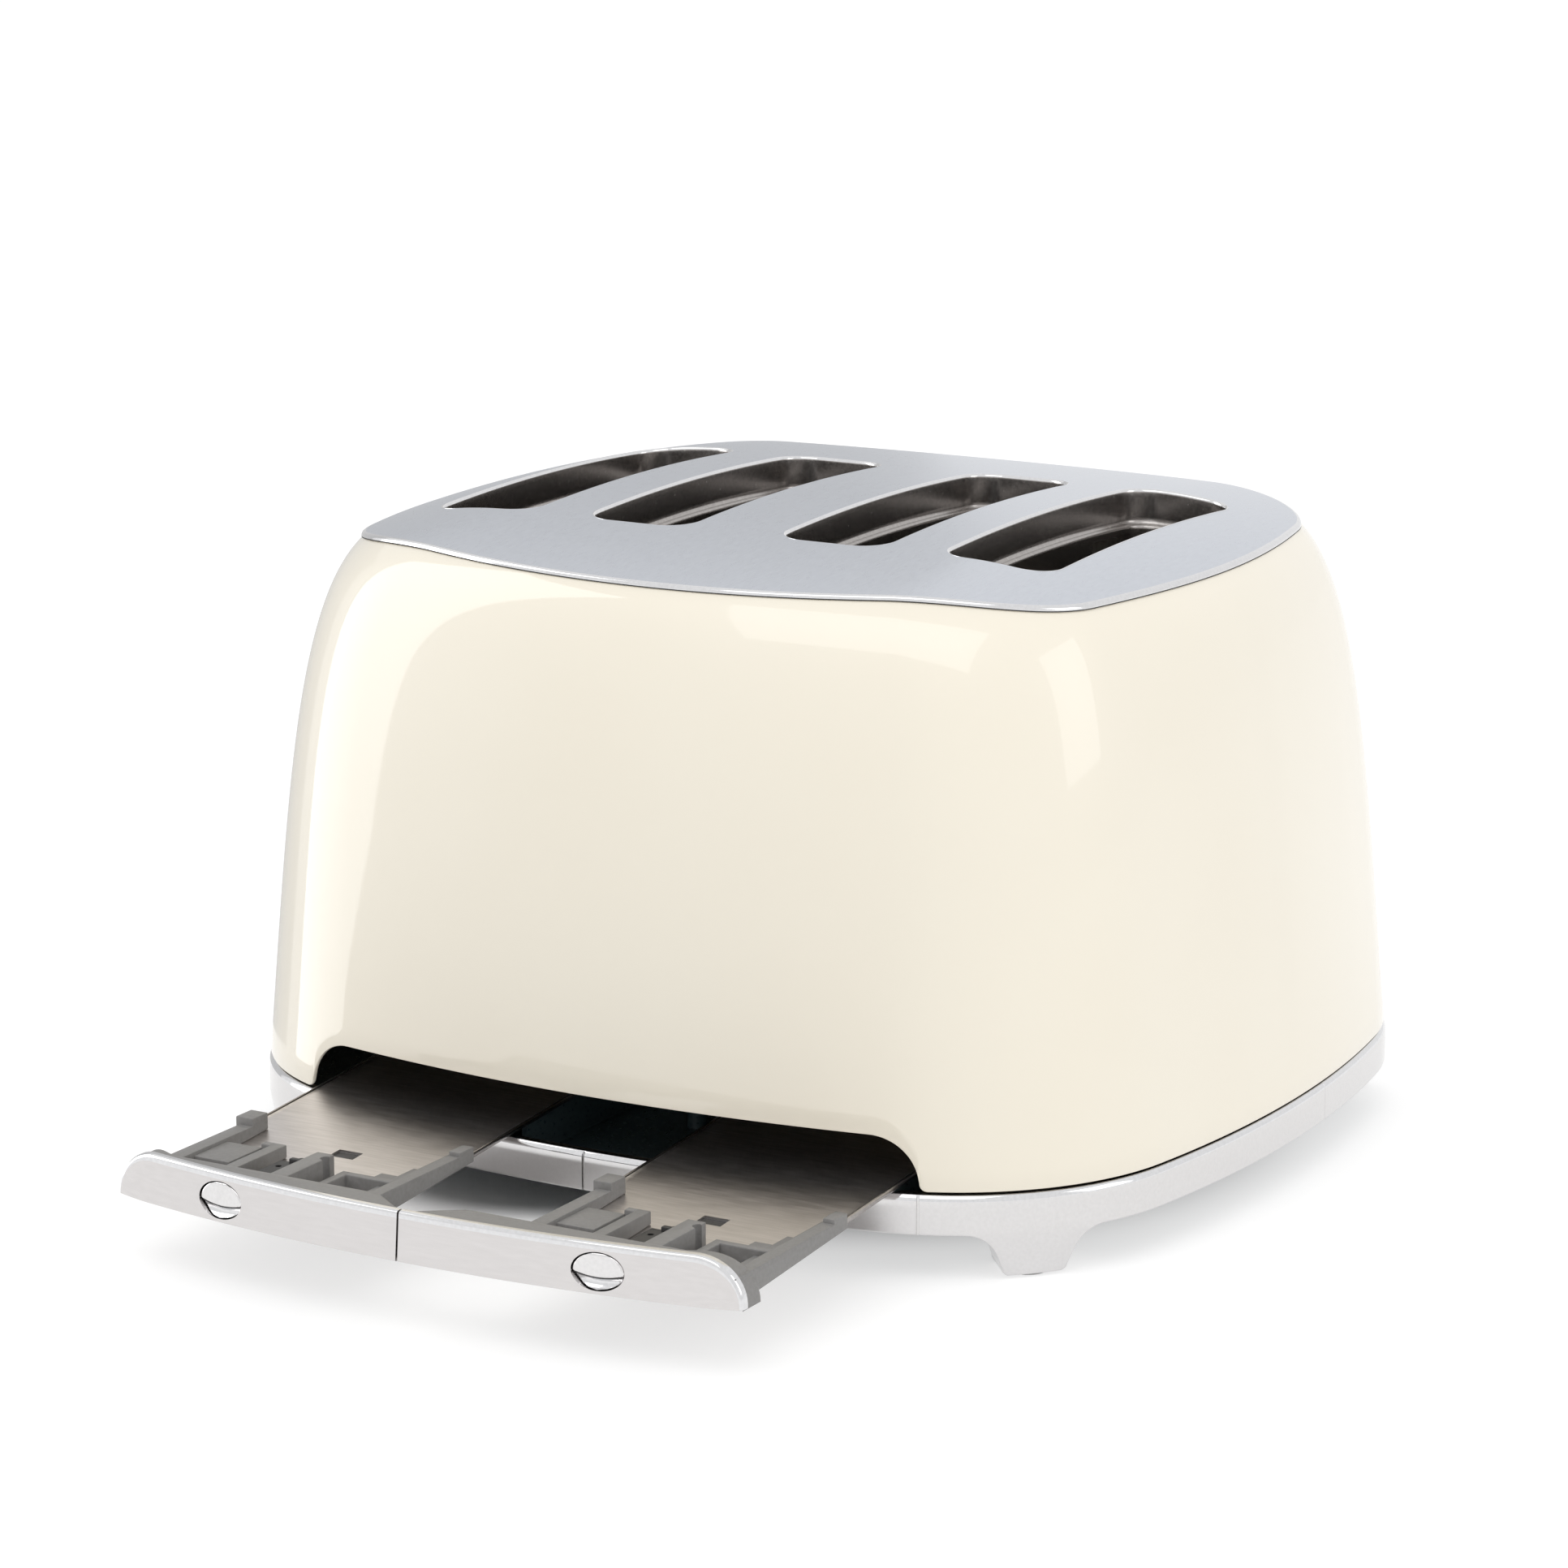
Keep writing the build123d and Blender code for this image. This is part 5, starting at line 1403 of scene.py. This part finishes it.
def spring_tree():
    """Coil spring: a wire swept along a helix."""
    lengths = dict.fromkeys(("Turns", "Radius", "Height", "Wire Radius"), "Float")
    tree, inlet, outlet = node_tree("coil spring", lengths)
    size = inlet.outputs
    coil = {
        "Resolution": 20,
        "Rotations": size["Turns"],
        "Start Radius": size["Radius"],
        "End Radius": size["Radius"],
        "Height": size["Height"],
    }
    helix = add_node(tree, "GeometryNodeCurveSpiral", coil)
    round_wire = {"Resolution": 8, "Radius": size["Wire Radius"]}
    wire = add_node(tree, "GeometryNodeCurvePrimitiveCircle", round_wire)
    sweep = {"Curve": helix, "Profile Curve": wire, "Fill Caps": True}
    close_tree(tree, outlet, add_node(tree, "GeometryNodeCurveToMesh", sweep), "sheet_steel")
    return tree


def make_springs():
    """Return springs, set between the body at the top and the carriage at the bottom."""
    tree = spring_tree()
    sizes = {
        "Turns": float(SPRING_TURNS),
        "Radius": SPRING_RADIUS * MM,
        "Height": (SPRING_HIGH - SPRING_LOW) * MM,
        "Wire Radius": SPRING_WIRE * MM,
    }
    for name, side in SIDES.items():
        spring = grow(f"coil_{name}", tree, sizes)
        spot = Vector((side * PAIR_X + SPRING_OFFSET, SPRING_Y, SPRING_LOW)) * MM
        spring.data.transform(Matrix.Translation(spot))
        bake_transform(spring)
        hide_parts(f"return_spring_{name}")


# Carried-over parts, stage, light and camera

NODE_FINISH = {
    "foot_pads": "pad_rubber",
    "base_pan": "base_teal",
    "base_screws": "polished_steel",
    "cord_gland": "rubber",
    "terminal_block": "black_plastic",
    "front_chassis": "sheet_steel",
    "rear_chassis": "sheet_steel",
    "heater_card": "mica",
    "bread_rack": "sheet_steel",
    "carriage": "sheet_steel",
    "guide_rods": "polished_steel",
    "hold_magnet": "sheet_steel",
    "control_board": "board",
}


def dress_nodes():
    """Finish the parts that are shown as they were packed."""
    for name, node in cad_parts.items():
        for start, finish in NODE_FINISH.items():
            if name.startswith(start):
                node.data.materials.clear()
                coat(node, finish)


def make_stage():
    """White floor, a bright card for the corner's highlight and a dim one for the metal's shade."""
    builder = bmesh.new()
    bmesh.ops.create_grid(builder, x_segments=2, y_segments=2, size=12000)
    floor = piece_from("floor", builder)
    floor.data.materials.append(floor_white())
    make_card("highlight_card", (-2, 37), 2200, 3.2)
    make_card("shade_card", (-70, -14), 900, 0.68)


def make_card(name, sector, tall, level):
    """Studio card off to one side: a sector of the floor by the rear corner and a wall behind it."""
    near = 170
    far = 1500
    corner = Vector((118, 140, 2))
    columns = []
    for degrees in spread(*sector, 12):
        turn = math.radians(degrees)
        way = Vector((math.cos(turn), math.sin(turn), 0))
        outer = corner + far * way
        columns.append((corner + near * way, outer, outer + Vector((0, 0, tall))))
    card = skinned(name, columns)
    card.data.materials.append(card_glow(name, level))


def softbox(name, place, aim, size, power):
    light = bpy.data.lights.new(name, "AREA")
    light.shape = "RECTANGLE"
    light.size, light.size_y = size
    light.energy = power
    lamp = bpy.data.objects.new(name, light)
    lamp.location = place
    lamp.rotation_euler = (Vector(aim) - Vector(place)).to_track_quat("-Z", "Y").to_euler()
    bpy.context.scene.collection.objects.link(lamp)


def make_light():
    """Even white surroundings, a broad softbox overhead and a weak fill from one side."""
    world = bpy.data.worlds.new("white_room")
    world.use_nodes = True
    tree = world.node_tree
    back = tree.nodes["Background"]
    back.inputs["Color"].default_value = (1, 1, 1, 1)
    levels = {"Value": seen_rays(tree), "To Min": 0.88, "To Max": 1.0}
    level = add_node(tree, "ShaderNodeMapRange", levels)
    tree.links.new(level.outputs["Result"], back.inputs["Strength"])
    bpy.context.scene.world = world
    middle = (0, 0, 0.1)
    softbox("overhead", (-0.2, 1.3, 2.1), middle, (2.2, 1.4), 12)
    softbox("side_fill", (-2.2, -0.3, 1.0), middle, (1.0, 1.4), 5)


def make_camera():
    camera = bpy.data.cameras.new("photo_view")
    camera.lens = 117.7
    camera.sensor_width = 36.0
    camera.sensor_fit = "HORIZONTAL"
    viewer = bpy.data.objects.new("photo_view", camera)
    place = Vector((-0.8283, 1.4748, 0.5142))
    target = Vector((0.01465, 0.00842, 0.11457))
    viewer.location = place
    viewer.rotation_euler = (target - place).to_track_quat("-Z", "Y").to_euler()
    bpy.context.scene.collection.objects.link(viewer)
    bpy.context.scene.camera = viewer


make_camera()
make_shell()
make_plate()
for number, slot_x in enumerate(SLOT_XS, start=1):
    make_liner(number, slot_x)
make_ring()
for name, side in SIDES.items():
    make_fascia(name, side)
    make_push(name, side)
    make_frame(name, side)
    make_pan(name, side)
    make_latch(name, side)
    make_lever_knob(name, side)
    make_dial(name, side)
    for label, angle in BUTTON_ANGLES.items():
        make_button(name, side, label, angle)
make_guards()
make_springs()
dress_nodes()
make_stage()
make_light()
bpy.context.scene.view_settings.view_transform = "Standard"
